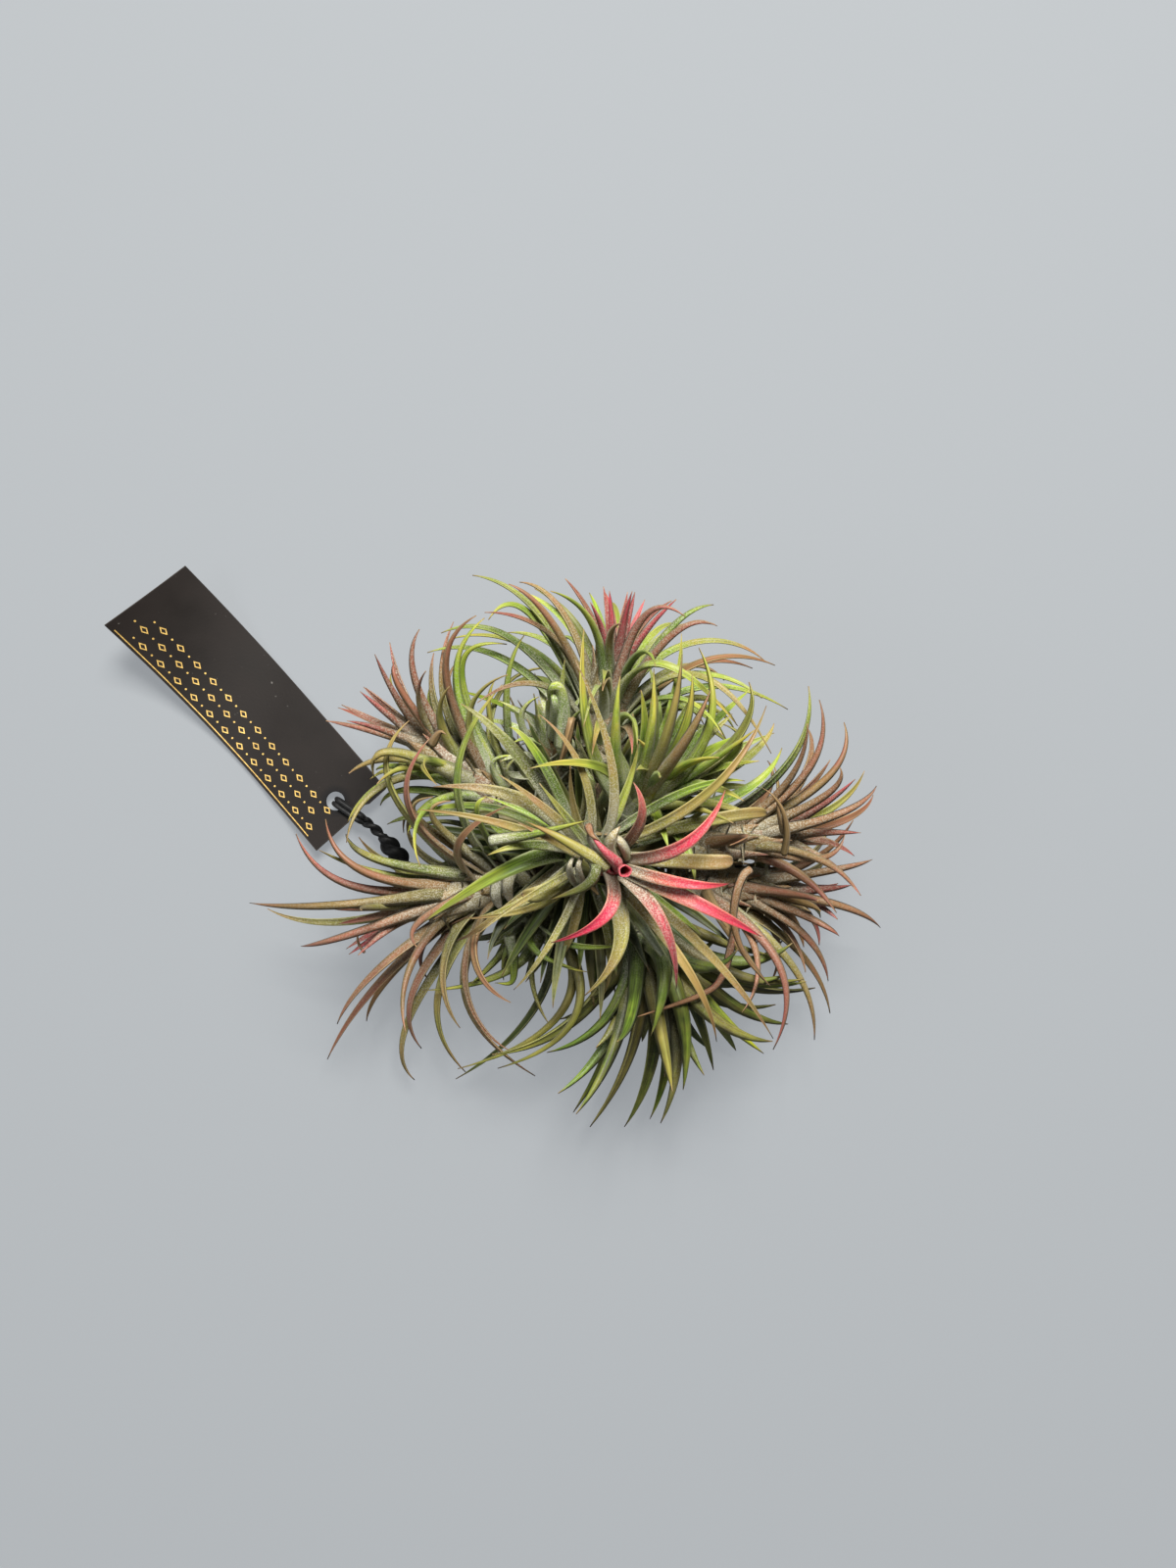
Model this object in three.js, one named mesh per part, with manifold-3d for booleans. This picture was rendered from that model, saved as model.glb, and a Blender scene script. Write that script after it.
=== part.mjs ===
// An air plant clump: ten leafy heads grown from one woody crown, with a card tag tied to it.
//
// Frame: millimetres, +Z up. The origin is the centre of the flat spot that the crown's stump rests on.
// Each head is a short neck on the crown, set about with awl-shaped blades. The blades that give the clump
// its outline are set one by one, by where they bend and where they end. The rest follow a golden-angle
// spiral, and bend back more the further out they sit. A blade that would run into another takes the
// nearest bend that is clear, as crowded leaves do.

import * as THREE from "three";
import { mergeVertices } from "three/addons/utils/BufferGeometryUtils.js";
import Module from "manifold-3d";

const wasm = await Module();
wasm.setup();

// ---------------------------------------------------------------- driving dimensions, mm and degrees

const SEAT_GAP = 0.3; // between two solids that touch
const LEAF_GAP = 0.3; // least room between blades of two nodes
const FLOOR_GAP = 0.5; // least height of a blade over the surface that the clump stands on
const GOLDEN_TURN = 137.508;

const CROWN = { centre: [0, 3, 28], radius: 8 };
const STOLON = { radius: 3, bend: 3, sides: 6, steps: 3 };
const STUMP = {
  footRadius: 9.5, footHeight: 3, footTaper: 0.6, waistRadius: 7.2, waistHeight: 9,
  topRadius: 7.6, topHeight: 24, sides: 14,
};

// A head's neck widens from its stolon to its full girth by a share of its length, and narrows above.
const NECK = { rootRadius: 3.2, fullBy: 0.34, topShare: 0.86, sides: 9, rings: [0, 0.1, 0.22, 0.34, 1] };
const NECK_SPLIT = 0.2; // where the thin bar of a neck ends, for keeping blades clear of it

const BLADE = {
  pieces: 24, // steps down the middle line that the rule works with
  keel: 0.4, // depth of the keel, as a share of the width
  thinnest: 0.62,
  tipWidth: 0.7,
  taperPower: 0.92, // width is (1 - u^taper)^taperPower of the full width
  rootWidth: 0.55, // share of the width at the root, which the neck hides
  rootSink: 0.55, // the root sits at this share of the neck's radius
  hook: 1.15, // the bend of a spiral blade grows with this power of u
  faceUp: 0.8, // how far a blade rolls its face up to the light, against 1 for where it grew
};

// A blade's full width is a share of the width that it is listed with, and it tapers as 1 - u^taper. The
// shaded bottom head's keep their width for the longest.
const FORMS = {
  front: { share: 0.6, taper: 1.9 },
  inner: { share: 0.74, taper: 2.2 },
  bottom: { share: 0.86, taper: 2.5 },
  others: { share: 0.62, taper: 2.4 },
};
const formOf = (head) => FORMS[head.name] ?? FORMS.others;

// How an outer spiral lays out its blades: the share of the neck that the innermost grows from, how far down
// the outermost is from it, how much chance adds to the angles, in degrees, and to the length and width.
const OUTER = {
  from: 0.93, down: 0.74, turn: 10, curl: 26, sway: 26, twist: 60, bendPower: 0.8,
  lengthSpread: 0.2, widthSpread: 0.16,
};

// How far a blade may be put off its course to keep clear: degrees for the spiral's, mm for the set ones.
const DODGE = {
  tries: 36, sway: 46, curl: 42, turn: 14, lift: 22, shift: 4, shorter: [1, 0.84, 0.68, 0.54],
};

// Seen from above, no spiral blade ends outside this oval. Only set blades reach further.
const SPREAD = { centre: [-7, 3], reach: [80, 71] };
const BARE_FROM = 0.35; // from this share of its neck on, a head with a heart keeps other heads' spirals off

// Each head: root is where its neck leaves the crown, azimuth and rise aim its axis, neck is its length.
// leaves and blushed count the spiral's outer and inner blades. reach, lean and curl run from the innermost
// blade to the outermost: its length, its angle from the axis at the root, and how far it bends back.
const HEADS = [
  {
    name: "front", root: [-5, 3.5, 45], azimuth: -16, rise: 64, neck: 21, girth: 6.4, start: 20,
    leaves: 9, blushed: 0, reach: [36, 46], lean: [48, 72], curl: [50, 96], width: 4.4, seed: 11,
  },
  {
    name: "top", root: [2.4, 22, 37], azimuth: 81, rise: 19, neck: 29, girth: 6, start: 0,
    leaves: 20, blushed: 11, reach: [38, 52], lean: [10, 22], curl: [40, 130], width: 4.4, seed: 23,
  },
  {
    name: "upper_left", root: [-16.5, 12, 33], azimuth: 145, rise: 13, neck: 33, girth: 5.6, start: 60,
    leaves: 17, blushed: 9, reach: [34, 48], lean: [9, 20], curl: [30, 120], width: 4.4, seed: 37,
  },
  {
    name: "left", root: [-15, -3, 31], azimuth: 198, rise: 9, neck: 32, girth: 5.8, start: 110,
    leaves: 10, blushed: 5, reach: [38, 52], lean: [8, 20], curl: [20, 110], width: 4.6, seed: 41,
  },
  {
    name: "right_upper", root: [21, 3, 38], azimuth: 8, rise: 12, neck: 30, girth: 5.2, start: 200,
    leaves: 10, blushed: 5, reach: [34, 46], lean: [8, 20], curl: [24, 100], width: 4.8, seed: 53,
  },
  {
    name: "right_lower", root: [22, -6, 26], azimuth: -6, rise: 2, neck: 33, girth: 5.4, start: 250,
    leaves: 10, blushed: 5, reach: [34, 46], lean: [8, 20], curl: [20, 104], width: 4.8, seed: 67,
  },
  {
    name: "bottom", root: [14, -13, 31], azimuth: -82, rise: 2, neck: 13, girth: 6.4, start: 300,
    leaves: 14, blushed: 0, reach: [40, 54], lean: [8, 30], curl: [12, 90], width: 5.8, seed: 79,
  },
  {
    name: "inner", root: [8.5, 10.5, 41], azimuth: 52, rise: 42, neck: 20, girth: 5.4, start: 30,
    leaves: 13, blushed: 0, reach: [30, 46], lean: [10, 30], curl: [10, 88], width: 4.8, seed: 83,
  },
  {
    name: "pup", root: [-8, 22, 37], azimuth: 96, rise: 42, neck: 17, girth: 4, start: 0,
    leaves: 9, blushed: 0, reach: [18, 27], lean: [8, 22], curl: [8, 92], width: 3.8, seed: 97,
  },
  {
    name: "low_pup", root: [-10, -12, 24], azimuth: 226, rise: -3, neck: 13, girth: 3.8, start: 0,
    leaves: 4, blushed: 0, reach: [22, 34], lean: [12, 26], curl: [30, 96], width: 4, seed: 101,
  },
];

// The set blades are laid out on a drawing of the clump as it looks from an eye straight above it. The
// sheet's x runs right and its y runs down, in sheet units, and each point has its real height in mm.
const SHEET = { centre: [600, 800], eye: [0, 20.6, 430], unitsPerRadian: 1462 };

// The blades that are set one by one: the share of the neck that each grows from, the point it passes at
// half its length, its tip, and its full width in mm.
const SET_BLADES = {
  front_heart: [
    [0.5, [653, 838, 84], [646, 798, 88], 6.0],
    [0.4, [697, 862, 84], [740, 806, 80], 7.2],
    [0.5, [696, 901, 82], [745, 901, 76], 6.0],
    [0.3, [712, 922, 80], [777, 956, 70], 7.8],
    [0.2, [674, 938, 76], [690, 1010, 62], 6.6],
    [0.5, [619, 932, 80], [562, 962, 72], 7.4],
    [0.6, [624, 876, 80], [613, 860, 84], 4.4],
  ],
  front: [
    [0.8, [634, 952, 76], [604, 1016, 62], 9.0],
    [0.6, [714, 964, 68], [789, 1060, 50], 5.4],
    [0.7, [697, 980, 70], [733, 1063, 54], 5.2],
    [0.7, [708, 879, 72], [748, 878, 72], 6.6],
    [0.6, [718, 812, 74], [782, 720, 70], 5.6],
    [0.5, [728, 836, 66], [783, 830, 62], 5.4],
    [0.9, [585, 828, 80], [586, 783, 86], 4.6],
    [0.9, [624, 786, 82], [591, 676, 86], 5.2],
    [0.5, [562, 906, 72], [532, 913, 72], 7.0],
    [0.4, [556, 920, 66], [474, 937, 60], 5.4],
    [0.9, [580, 860, 80], [533, 837, 84], 6.4],
    [0.4, [524, 884, 66], [432, 941, 60], 9.0],
    [0.5, [540, 862, 72], [497, 873, 74], 5.0],
    [0.5, [530, 815, 72], [442, 803, 70], 7.6],
    [0.4, [530, 772, 70], [470, 718, 72], 7.2],
    [0.6, [695, 809, 72], [760, 797, 70], 5.0],
  ],
  inner: [
    [0.4, [628, 765, 74], [633, 690, 84], 5.6],
    [0.3, [600, 748, 68], [596, 642, 74], 5.6],
    [0.5, [662, 758, 76], [667, 682, 84], 5.0],
    [0.6, [679, 752, 80], [696, 668, 88], 4.8],
    [0.5, [692, 758, 74], [706, 688, 82], 5.0],
    [0.7, [694, 764, 82], [725, 704, 90], 4.6],
    [0.6, [722, 748, 72], [713, 661, 72], 4.8],
    [0.5, [748, 758, 68], [764, 696, 72], 4.8],
    [0.4, [750, 782, 62], [790, 738, 60], 5.0],
    [0.3, [750, 812, 56], [798, 763, 52], 5.2],
  ],
  top: [
    [0.5, [554, 632, 58], [482, 587, 58], 4.4],
    [0.6, [566, 640, 64], [519, 596, 70], 4.2],
    [0.7, [576, 628, 54], [530, 594, 50], 4.2],
    [0.4, [650, 640, 66], [699, 629, 74], 4.2],
    [0.5, [676, 652, 58], [728, 617, 56], 4.4],
    [0.6, [682, 652, 66], [732, 639, 66], 4.2],
    [0.4, [705, 680, 56], [791, 679, 48], 4.4],
    [0.3, [692, 686, 46], [768, 682, 36], 4.4],
    [0.3, [706, 703, 54], [804, 724, 42], 4.4],
    [0.5, [705, 688, 64], [787, 769, 66], 4.2],
    [0.2, [700, 714, 46], [752, 740, 40], 4.4],
    [0.2, [700, 742, 40], [747, 764, 36], 4.4],
    [0.5, [545, 628, 60], [500, 632, 64], 4.6],
    [0.4, [528, 656, 54], [450, 646, 54], 4.6],
    [0.3, [520, 676, 48], [436, 666, 46], 4.6],
    [0.2, [533, 720, 42], [474, 705, 40], 4.6],
  ],
  upper_left: [
    [0.4, [456, 692, 60], [486, 628, 70], 4.4],
    [0.3, [466, 700, 56], [496, 630, 62], 4.6],
    [0.2, [472, 690, 50], [517, 656, 54], 4.6],
    [0.1, [517, 716, 50], [535, 648, 58], 4.4],
    [0.7, [426, 700, 56], [428, 642, 62], 4.4],
    [0.8, [414, 714, 50], [400, 678, 54], 4.0],
    [0.4, [404, 768, 58], [382, 794, 54], 5.0],
    [0.3, [420, 786, 46], [384, 786, 38], 4.6],
    [0.2, [425, 806, 40], [388, 822, 34], 4.8],
    [0.1, [445, 830, 34], [395, 842, 26], 5.0],
  ],
  left: [
    [0.6, [374, 890, 50], [332, 836, 48], 4.8],
    [0.5, [366, 905, 44], [302, 851, 36], 5.0],
    [0.4, [398, 880, 42], [348, 848, 34], 5.2],
    [0.7, [350, 928, 40], [248, 922, 28], 4.6],
    [0.6, [352, 938, 34], [278, 928, 22], 4.6],
    [0.7, [366, 955, 40], [301, 965, 34], 4.4],
    [0.5, [392, 984, 36], [344, 1045, 24], 4.8],
    [0.4, [396, 994, 28], [334, 1081, 12], 5.0],
    [0.5, [404, 990, 22], [374, 1042, 10], 4.6],
    [0.4, [425, 1004, 26], [430, 1070, 14], 4.8],
    [0.3, [420, 1034, 18], [423, 1102, 6], 4.8],
    [0.3, [448, 1012, 26], [475, 1094, 14], 5.0],
    [0.2, [474, 1010, 28], [546, 1098, 16], 5.0],
    [0.5, [402, 806, 54], [417, 732, 60], 4.6],
    [0.4, [420, 830, 56], [438, 754, 64], 4.6],
    [0.5, [468, 862, 56], [518, 822, 62], 4.6],
  ],
  right_upper: [
    [0.2, [800, 784, 48], [825, 700, 50], 5.0],
    [0.6, [824, 786, 56], [836, 714, 60], 4.4],
    [0.6, [842, 796, 50], [862, 736, 50], 4.6],
    [0.7, [838, 814, 58], [857, 783, 64], 4.2],
    [0.6, [838, 828, 44], [884, 788, 40], 4.6],
    [0.8, [850, 836, 50], [890, 801, 50], 4.2],
    [0.5, [846, 842, 38], [891, 811, 30], 4.6],
    [0.8, [832, 878, 54], [861, 851, 60], 4.0],
  ],
  right_lower: [
    [0.7, [846, 888, 36], [890, 877, 32], 4.4],
    [0.6, [846, 924, 28], [894, 947, 18], 4.6],
    [0.7, [828, 938, 40], [856, 955, 40], 4.2],
    [0.6, [818, 952, 34], [845, 1001, 28], 4.6],
    [0.4, [812, 968, 24], [847, 1034, 12], 4.8],
    [0.3, [804, 980, 30], [831, 1061, 22], 5.0],
    [0.2, [792, 980, 42], [789, 1071, 38], 5.0],
    [0.3, [750, 960, 52], [785, 1006, 48], 4.6],
  ],
  bottom: [
    [0.3, [634, 1035, 34], [585, 1135, 16], 5.8],
    [0.5, [650, 1050, 32], [602, 1150, 16], 5.8],
    [0.6, [668, 1060, 26], [637, 1150, 10], 5.6],
    [0.7, [682, 1055, 22], [663, 1142, 8], 5.2],
    [0.8, [692, 1060, 36], [674, 1146, 24], 5.4],
    [0.7, [678, 990, 54], [664, 1057, 52], 6.0],
    [0.8, [696, 1030, 46], [697, 1112, 36], 6.2],
    [0.6, [706, 1020, 30], [728, 1092, 16], 5.6],
    [0.4, [718, 1015, 44], [781, 1075, 34], 5.6],
    [0.4, [736, 1016, 34], [804, 1045, 22], 5.8],
    [0.3, [744, 1000, 26], [832, 1008, 12], 5.8],
    [0.2, [740, 990, 40], [820, 999, 34], 5.4],
    [0.1, [730, 958, 36], [783, 974, 30], 4.6],
    [0.6, [724, 1030, 20], [751, 1072, 6], 5.0],
    [0.2, [625, 1028, 40], [558, 1074, 34], 4.6],
  ],
  pup: [
    [0.8, [566, 716, 70], [560, 712, 58], 4.6],
    [0.4, [583, 732, 66], [570, 784, 62], 3.2],
  ],
  low_pup: [
    [0.5, [575, 962, 48], [640, 964, 50], 4.6],
    [0.4, [545, 968, 42], [600, 992, 42], 4.6],
    [0.7, [518, 968, 34], [514, 1000, 24], 4.2],
    [0.1, [548, 1025, 22], [465, 1101, 8], 5.2],
    [0.2, [572, 1028, 28], [468, 1090, 14], 5.2],
    [0.3, [590, 1030, 36], [508, 1090, 22], 5.0],
    [0.3, [520, 988, 36], [434, 1011, 24], 5.0],
  ],
};

// The hearts of the heads that have flowered or are about to. The front one has its spent flower's tube.
const HEART = { radius: 4, tipRadius: 2.4, height: 7, tubeBore: 1.5, tubeDepth: 4, sides: 9, blade: 3.9 };
const BLUSHED = {
  from: 0.85, down: 0.75, start: 40, turn: 10, curlChance: 10, sway: 16, twist: 40, lengthSpread: 0.24,
  reach: [15, 27], lean: [5, 26], curl: [2, 26],
};

// The card lies with its near end at a place, and bows up from its lowest line, which is so far along it.
// Its far corner curls up as well, from a slanting line.
const TAG = {
  near: [-70.1, 10], azimuth: 131.7, length: 87.5, width: 27.7, thick: 0.7, bow: 300, lowest: 55,
  stepsAlong: 12, stepsAcross: 4,
};
const TAG_CURL = { from: 45, slant: 35, radius: 75 };
const TAG_ROOM = { aside: 1, above: 2.5 }; // kept clear of blades round the card
const TAG_HOLE = { inset: 7.4, radius: 2.8, depth: 20, sides: 18 };
const STRAND = 1.7; // one strand of the string
const TAG_LOOP = { endRadius: 1.6, halfRun: 3.35, turn: 14.7, sides: 6, turns: 14 };
// The cord's route, from the tie round the stump to the tag, and the knot's place on it.
const TIE = { height: 14, ringRadius: 8.5, sides: 6, turns: 20 };
const CORD = { diameter: 3.2, sides: 8, stepDiameters: 2.4, room: 13 }; // room: sheet units kept clear
const CORD_INNER = [
  [-9.7, 0, 14], [-12, -0.3, 13.3], [-18, -1.8, 9.6], [-28, -6, 5.4],
  [-38, -9, 4.4], [-46.5, -9, 4.9], [-51.6, -6.6, 5.7], [-53.2, -4.6, 5.8],
];
const KNOT = {
  at: [-57, 0.2, 6.1], radius: 3.2, endShrink: 0.45, sides: 9, rings: [-1, -0.7, -0.25, 0.25, 0.7, 1],
};
const CORD_OUTER = [[-60.9, 5, 6], [-63, 7.2, 5.7], [-65.8, 9.4, 5.3]];

// Wiry roots: each leaves the crown at a height, heads out, and wanders.
const ROOT = { radius: 0.55, sides: 3, steps: 6, wander: 34, room: 0.4 };
const ROOTS = [
  { azimuth: 127, rise: 16, from: 26, length: 46, seed: 3 },
  { azimuth: 131, rise: 34, from: 27, length: 40, seed: 5 },
  { azimuth: 124, rise: 28, from: 25, length: 34, seed: 9 },
  { azimuth: 40, rise: -24, from: 12, length: 26, seed: 13 },
  { azimuth: 262, rise: -26, from: 12, length: 27, seed: 19 },
  { azimuth: 325, rise: -28, from: 11, length: 25, seed: 29 },
];

// ---------------------------------------------------------------- small helpers

const UP = new THREE.Vector3(0, 0, 1);
const radians = THREE.MathUtils.degToRad;
const mix = THREE.MathUtils.lerp;
const point = (p) => new THREE.Vector3(...p);

// The real place of a point on the sheet: along the eye's line of sight, down to the point's height.
function fromSheet([x, y, height]) {
  const [eyeX, eyeY, eyeHeight] = SHEET.eye;
  const perUnit = (eyeHeight - height) / SHEET.unitsPerRadian;
  const [right, down] = [x - SHEET.centre[0], y - SHEET.centre[1]];
  return new THREE.Vector3(eyeX + right * perUnit, eyeY - down * perUnit, height);
}

// Where on the sheet the eye sees a real place.
function toSheet(at) {
  const [eyeX, eyeY, eyeHeight] = SHEET.eye;
  const scale = SHEET.unitsPerRadian / (eyeHeight - at.z);
  return new THREE.Vector2(SHEET.centre[0] + (at.x - eyeX) * scale, SHEET.centre[1] - (at.y - eyeY) * scale);
}

const sum = (solids) => solids.reduce((joined, solid) => joined.add(solid));

// Park and Miller's generator, so that every run grows the same plant.
function seeded(seed) {
  let state = seed * 7919 + 17;
  return () => (state = (state * 16807) % 2147483647) / 2147483647;
}

// The axis of a head, with the two directions square to it. The first leans to the sky.
function axesOf(azimuth, rise) {
  const [a, r] = [radians(azimuth), radians(rise)];
  const axis = new THREE.Vector3(Math.cos(a) * Math.cos(r), Math.sin(a) * Math.cos(r), Math.sin(r));
  const up = UP.clone().addScaledVector(axis, -axis.z).normalize();
  return { axis, up, across: new THREE.Vector3().crossVectors(axis, up) };
}

// A head's frame at the foot of its neck, and its heart's on the neck's top.
function framesOf(head) {
  const axes = axesOf(head.azimuth, head.rise);
  const origin = point(head.root);
  const top = origin.clone().addScaledVector(axes.axis, head.neck + SEAT_GAP);
  return { foot: { ...axes, origin }, heart: { ...axes, origin: top } };
}

function neckRadius(head, share) {
  const { rootRadius, fullBy, topShare } = NECK;
  if (share < fullBy) return mix(rootRadius, head.girth, Math.sin((share / fullBy) * (Math.PI / 2)));
  return mix(head.girth, head.girth * topShare, (share - fullBy) / (1 - fullBy));
}

const heartRadius = (share) => mix(HEART.radius, HEART.tipRadius, share);
const hasHeart = (head) => head.blushed > 0 || head.name === "front";

// ---------------------------------------------------------------- how a blade grows

// A cross-section of a blade: its place, the direction across its flat upper face, the direction out of
// that face, and its half width and half depth. u runs from the root, 0, to the tip, 1.
function sectionAt(at, along, across, u, { twist, width, form }) {
  const side = across.clone().addScaledVector(along, -across.dot(along)).normalize();
  side.applyAxisAngle(along, radians(twist * u));
  const face = new THREE.Vector3().crossVectors(along, side);
  const full = width * form.share;
  const tapered = full * Math.pow(1 - Math.pow(u, form.taper), BLADE.taperPower);
  const wide = u === 0 ? full * BLADE.rootWidth : Math.max(BLADE.tipWidth, tapered);
  const deep = Math.max(BLADE.thinnest, BLADE.keel * wide);
  return { at: at.clone(), along: along.clone(), side, face, half: wide / 2, deep: deep / 2 };
}

// A blade of the spiral: its heading turns away from the axis by curl over its length, and aside by sway.
function spiralBlade(frame, spec) {
  const start = radians(spec.turn);
  const at = frame.origin.clone().addScaledVector(frame.axis, spec.height);
  at.addScaledVector(frame.up, Math.cos(start) * spec.rootRadius);
  at.addScaledVector(frame.across, Math.sin(start) * spec.rootRadius);
  const sections = [];
  for (let i = 0; i <= BLADE.pieces; i++) {
    const u = i / BLADE.pieces;
    const lean = radians(spec.lean + spec.curl * Math.pow(u, BLADE.hook));
    const turn = radians(spec.turn + spec.sway * u * u);
    const out = frame.up.clone().multiplyScalar(Math.cos(turn));
    out.addScaledVector(frame.across, Math.sin(turn));
    const along = frame.axis.clone().multiplyScalar(Math.cos(lean)).addScaledVector(out, Math.sin(lean));
    const across = new THREE.Vector3().crossVectors(frame.axis, out);
    sections.push(sectionAt(at, along, across, u, spec));
    at.addScaledVector(along, spec.length / BLADE.pieces);
  }
  return sections;
}

// A blade set by hand: one smooth bend from the neck, through the middle point, to the tip.
function setBlade(frame, spec) {
  const from = frame.origin.clone().addScaledVector(frame.axis, spec.height);
  const out = spec.middle.clone().sub(from);
  out.addScaledVector(frame.axis, -out.dot(frame.axis)).normalize();
  const root = from.addScaledVector(out, spec.rootRadius);
  const pull = spec.middle.clone().multiplyScalar(2);
  pull.addScaledVector(root, -0.5).addScaledVector(spec.tip, -0.5);
  const across = new THREE.Vector3().crossVectors(frame.axis, out);
  const sections = [];
  for (let i = 0; i <= BLADE.pieces; i++) {
    const u = i / BLADE.pieces;
    const at = root.clone().multiplyScalar((1 - u) ** 2);
    at.addScaledVector(pull, 2 * u * (1 - u)).addScaledVector(spec.tip, u * u);
    const along = pull.clone().sub(root).multiplyScalar(1 - u);
    along.addScaledVector(spec.tip, u).addScaledVector(pull, -u).normalize();
    sections.push(sectionAt(at, along, across, u, spec));
  }
  return sections;
}

// Every section of a blade rolled towards level, all to the same hand, as leaves turn their faces up.
function facedUp(sections) {
  const levelOf = ({ along }) => new THREE.Vector3().crossVectors(UP, along);
  const middle = sections[BLADE.pieces / 2];
  const hand = middle.side.dot(levelOf(middle)) < 0 ? -1 : 1;
  return sections.map((section) => {
    const side = section.side.clone().addScaledVector(levelOf(section), hand * BLADE.faceUp).normalize();
    return { ...section, side, face: new THREE.Vector3().crossVectors(section.along, side) };
  });
}

// The solid blade keeps a few of the sections: the more it bends, the more it keeps.
function keptSections(sections) {
  let bend = 0;
  for (let i = 1; i < sections.length; i++) bend += sections[i].along.angleTo(sections[i - 1].along);
  const steps = bend > radians(75) ? 6 : bend > radians(24) ? 4 : 3;
  return sections.filter((_, i) => i % (BLADE.pieces / steps) === 0);
}

const BLADE_CORNERS = [[-1, 1], [0, -1], [1, 1]];

// The three corners of a section: the two edges of the flat face, and the keel.
function cornersOf(section) {
  const corner = (x, y) => {
    const moved = section.at.clone().addScaledVector(section.side, x * section.half);
    return moved.addScaledVector(section.face, y * section.deep);
  };
  return BLADE_CORNERS.map(([x, y]) => corner(x, y));
}

// ---------------------------------------------------------------- room between things

// A box round some corners, square to the given axes.
function boxRound(corners, axes) {
  const centre = new THREE.Vector3();
  const extent = axes.map((axis) => {
    const reach = corners.map((corner) => corner.dot(axis));
    const [low, high] = [Math.min(...reach), Math.max(...reach)];
    centre.addScaledVector(axis, (low + high) / 2);
    return (high - low) / 2;
  });
  return { centre, axes, extent, radius: Math.hypot(...extent) };
}

// One box for each piece of a solid blade, so that the boxes hold the whole blade.
function boxesOf(kept) {
  return kept.slice(1).map((next, i) => {
    const last = kept[i];
    const along = next.at.clone().sub(last.at).normalize();
    const across = last.side.clone().addScaledVector(along, -last.side.dot(along)).normalize();
    const face = new THREE.Vector3().crossVectors(along, across);
    return boxRound([...cornersOf(last), ...cornersOf(next)], [along, across, face]);
  });
}

// A box round a straight stretch of something round.
function barBox(from, to, radius) {
  const along = to.clone().sub(from).normalize();
  const other = Math.abs(along.z) < 0.9 ? UP : new THREE.Vector3(1, 0, 0);
  const across = new THREE.Vector3().crossVectors(along, other).normalize();
  const face = new THREE.Vector3().crossVectors(along, across);
  const extent = [from.distanceTo(to) / 2, radius, radius];
  const centre = from.clone().lerp(to, 0.5);
  return { centre, axes: [along, across, face], extent, radius: Math.hypot(...extent) };
}

// Half the length of a box's shadow on a line.
function halfShadow(box, line) {
  return box.axes.reduce((all, own, i) => all + box.extent[i] * Math.abs(own.dot(line)), 0);
}

// True where some plane parts two boxes with the given room to spare.
function apart(a, b, gap) {
  const between = b.centre.clone().sub(a.centre);
  if (between.length() > a.radius + b.radius + gap) return true;
  const crossings = a.axes.flatMap((u) => b.axes.map((v) => new THREE.Vector3().crossVectors(u, v)));
  const usable = crossings.filter((line) => line.lengthSq() > 1e-6).map((line) => line.normalize());
  const roomOn = (line) => Math.abs(between.dot(line)) - halfShadow(a, line) - halfShadow(b, line);
  return [...a.axes, ...b.axes, ...usable].some((line) => roomOn(line) > gap);
}

// Everything that has grown or been put in place so far, each box with its node's name.
// Blades of one node may press together near their roots, so loose marks the boxes further out.
const placed = [];
function place(node, boxes, firstLoose = Infinity) {
  boxes.forEach((box, i) => placed.push({ node, box, loose: i >= firstLoose }));
}

const firstLooseOf = (boxes) => Math.ceil(boxes.length / 3);

// True where nothing is in a blade's way. A blade may cross its own node's where crossing says so.
function isClear(node, kept, boxes, crossing) {
  const corners = kept.flatMap(cornersOf);
  if (corners.some((corner) => corner.z < FLOOR_GAP)) return false;
  if (kept.some((section) => overCord(section.at))) return false;
  const loose = firstLooseOf(boxes);
  return placed.every((other) => {
    if (other.node !== node) return boxes.every((box) => apart(box, other.box, LEAF_GAP));
    if (crossing || !other.loose) return true;
    return boxes.slice(loose).every((box) => apart(box, other.box, 0));
  });
}

// The i-th way to try a blade, on a spiral that widens from its own course.
function dodged(spec, i) {
  const far = i / DODGE.tries;
  const [c, s] = [far * Math.cos(radians(i * GOLDEN_TURN)), far * Math.sin(radians(i * GOLDEN_TURN))];
  if (spec.tip)
    return {
      ...spec,
      middle: spec.middle.clone().add(new THREE.Vector3(DODGE.shift * s, DODGE.shift * c, DODGE.lift * c)),
      tip: spec.tip.clone().add(new THREE.Vector3(DODGE.shift * c, DODGE.shift * s, DODGE.lift * s)),
    };
  return {
    ...spec,
    sway: spec.sway + DODGE.sway * c,
    curl: spec.curl + DODGE.curl * s,
    turn: spec.turn + DODGE.turn * (c * c - s * s),
  };
}

// A blade as its head wants it, or the nearest way that is clear, or none. A spiral's blade also stays
// within the clump's spread, and off the card and other heads' necks.
function grow(node, frame, spec) {
  const lengths = spec.tip ? [1] : DODGE.shorter;
  for (const crossing of [false, true])
    for (const shorter of lengths)
      for (let i = 0; i < DODGE.tries; i++) {
        const tried = dodged(spec, i);
        const course = spec.tip
          ? setBlade(frame, tried)
          : spiralBlade(frame, { ...tried, length: spec.length * shorter });
        if (!spec.tip && strays(node, course)) continue;
        const sections = facedUp(course);
        const kept = keptSections(sections);
        const boxes = boxesOf(kept);
        if (!isClear(node, kept, boxes, crossing)) continue;
        place(node, boxes, firstLooseOf(boxes));
        return [kept];
      }
  return [];
}

// ---------------------------------------------------------------- what is in the blades' way

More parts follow.
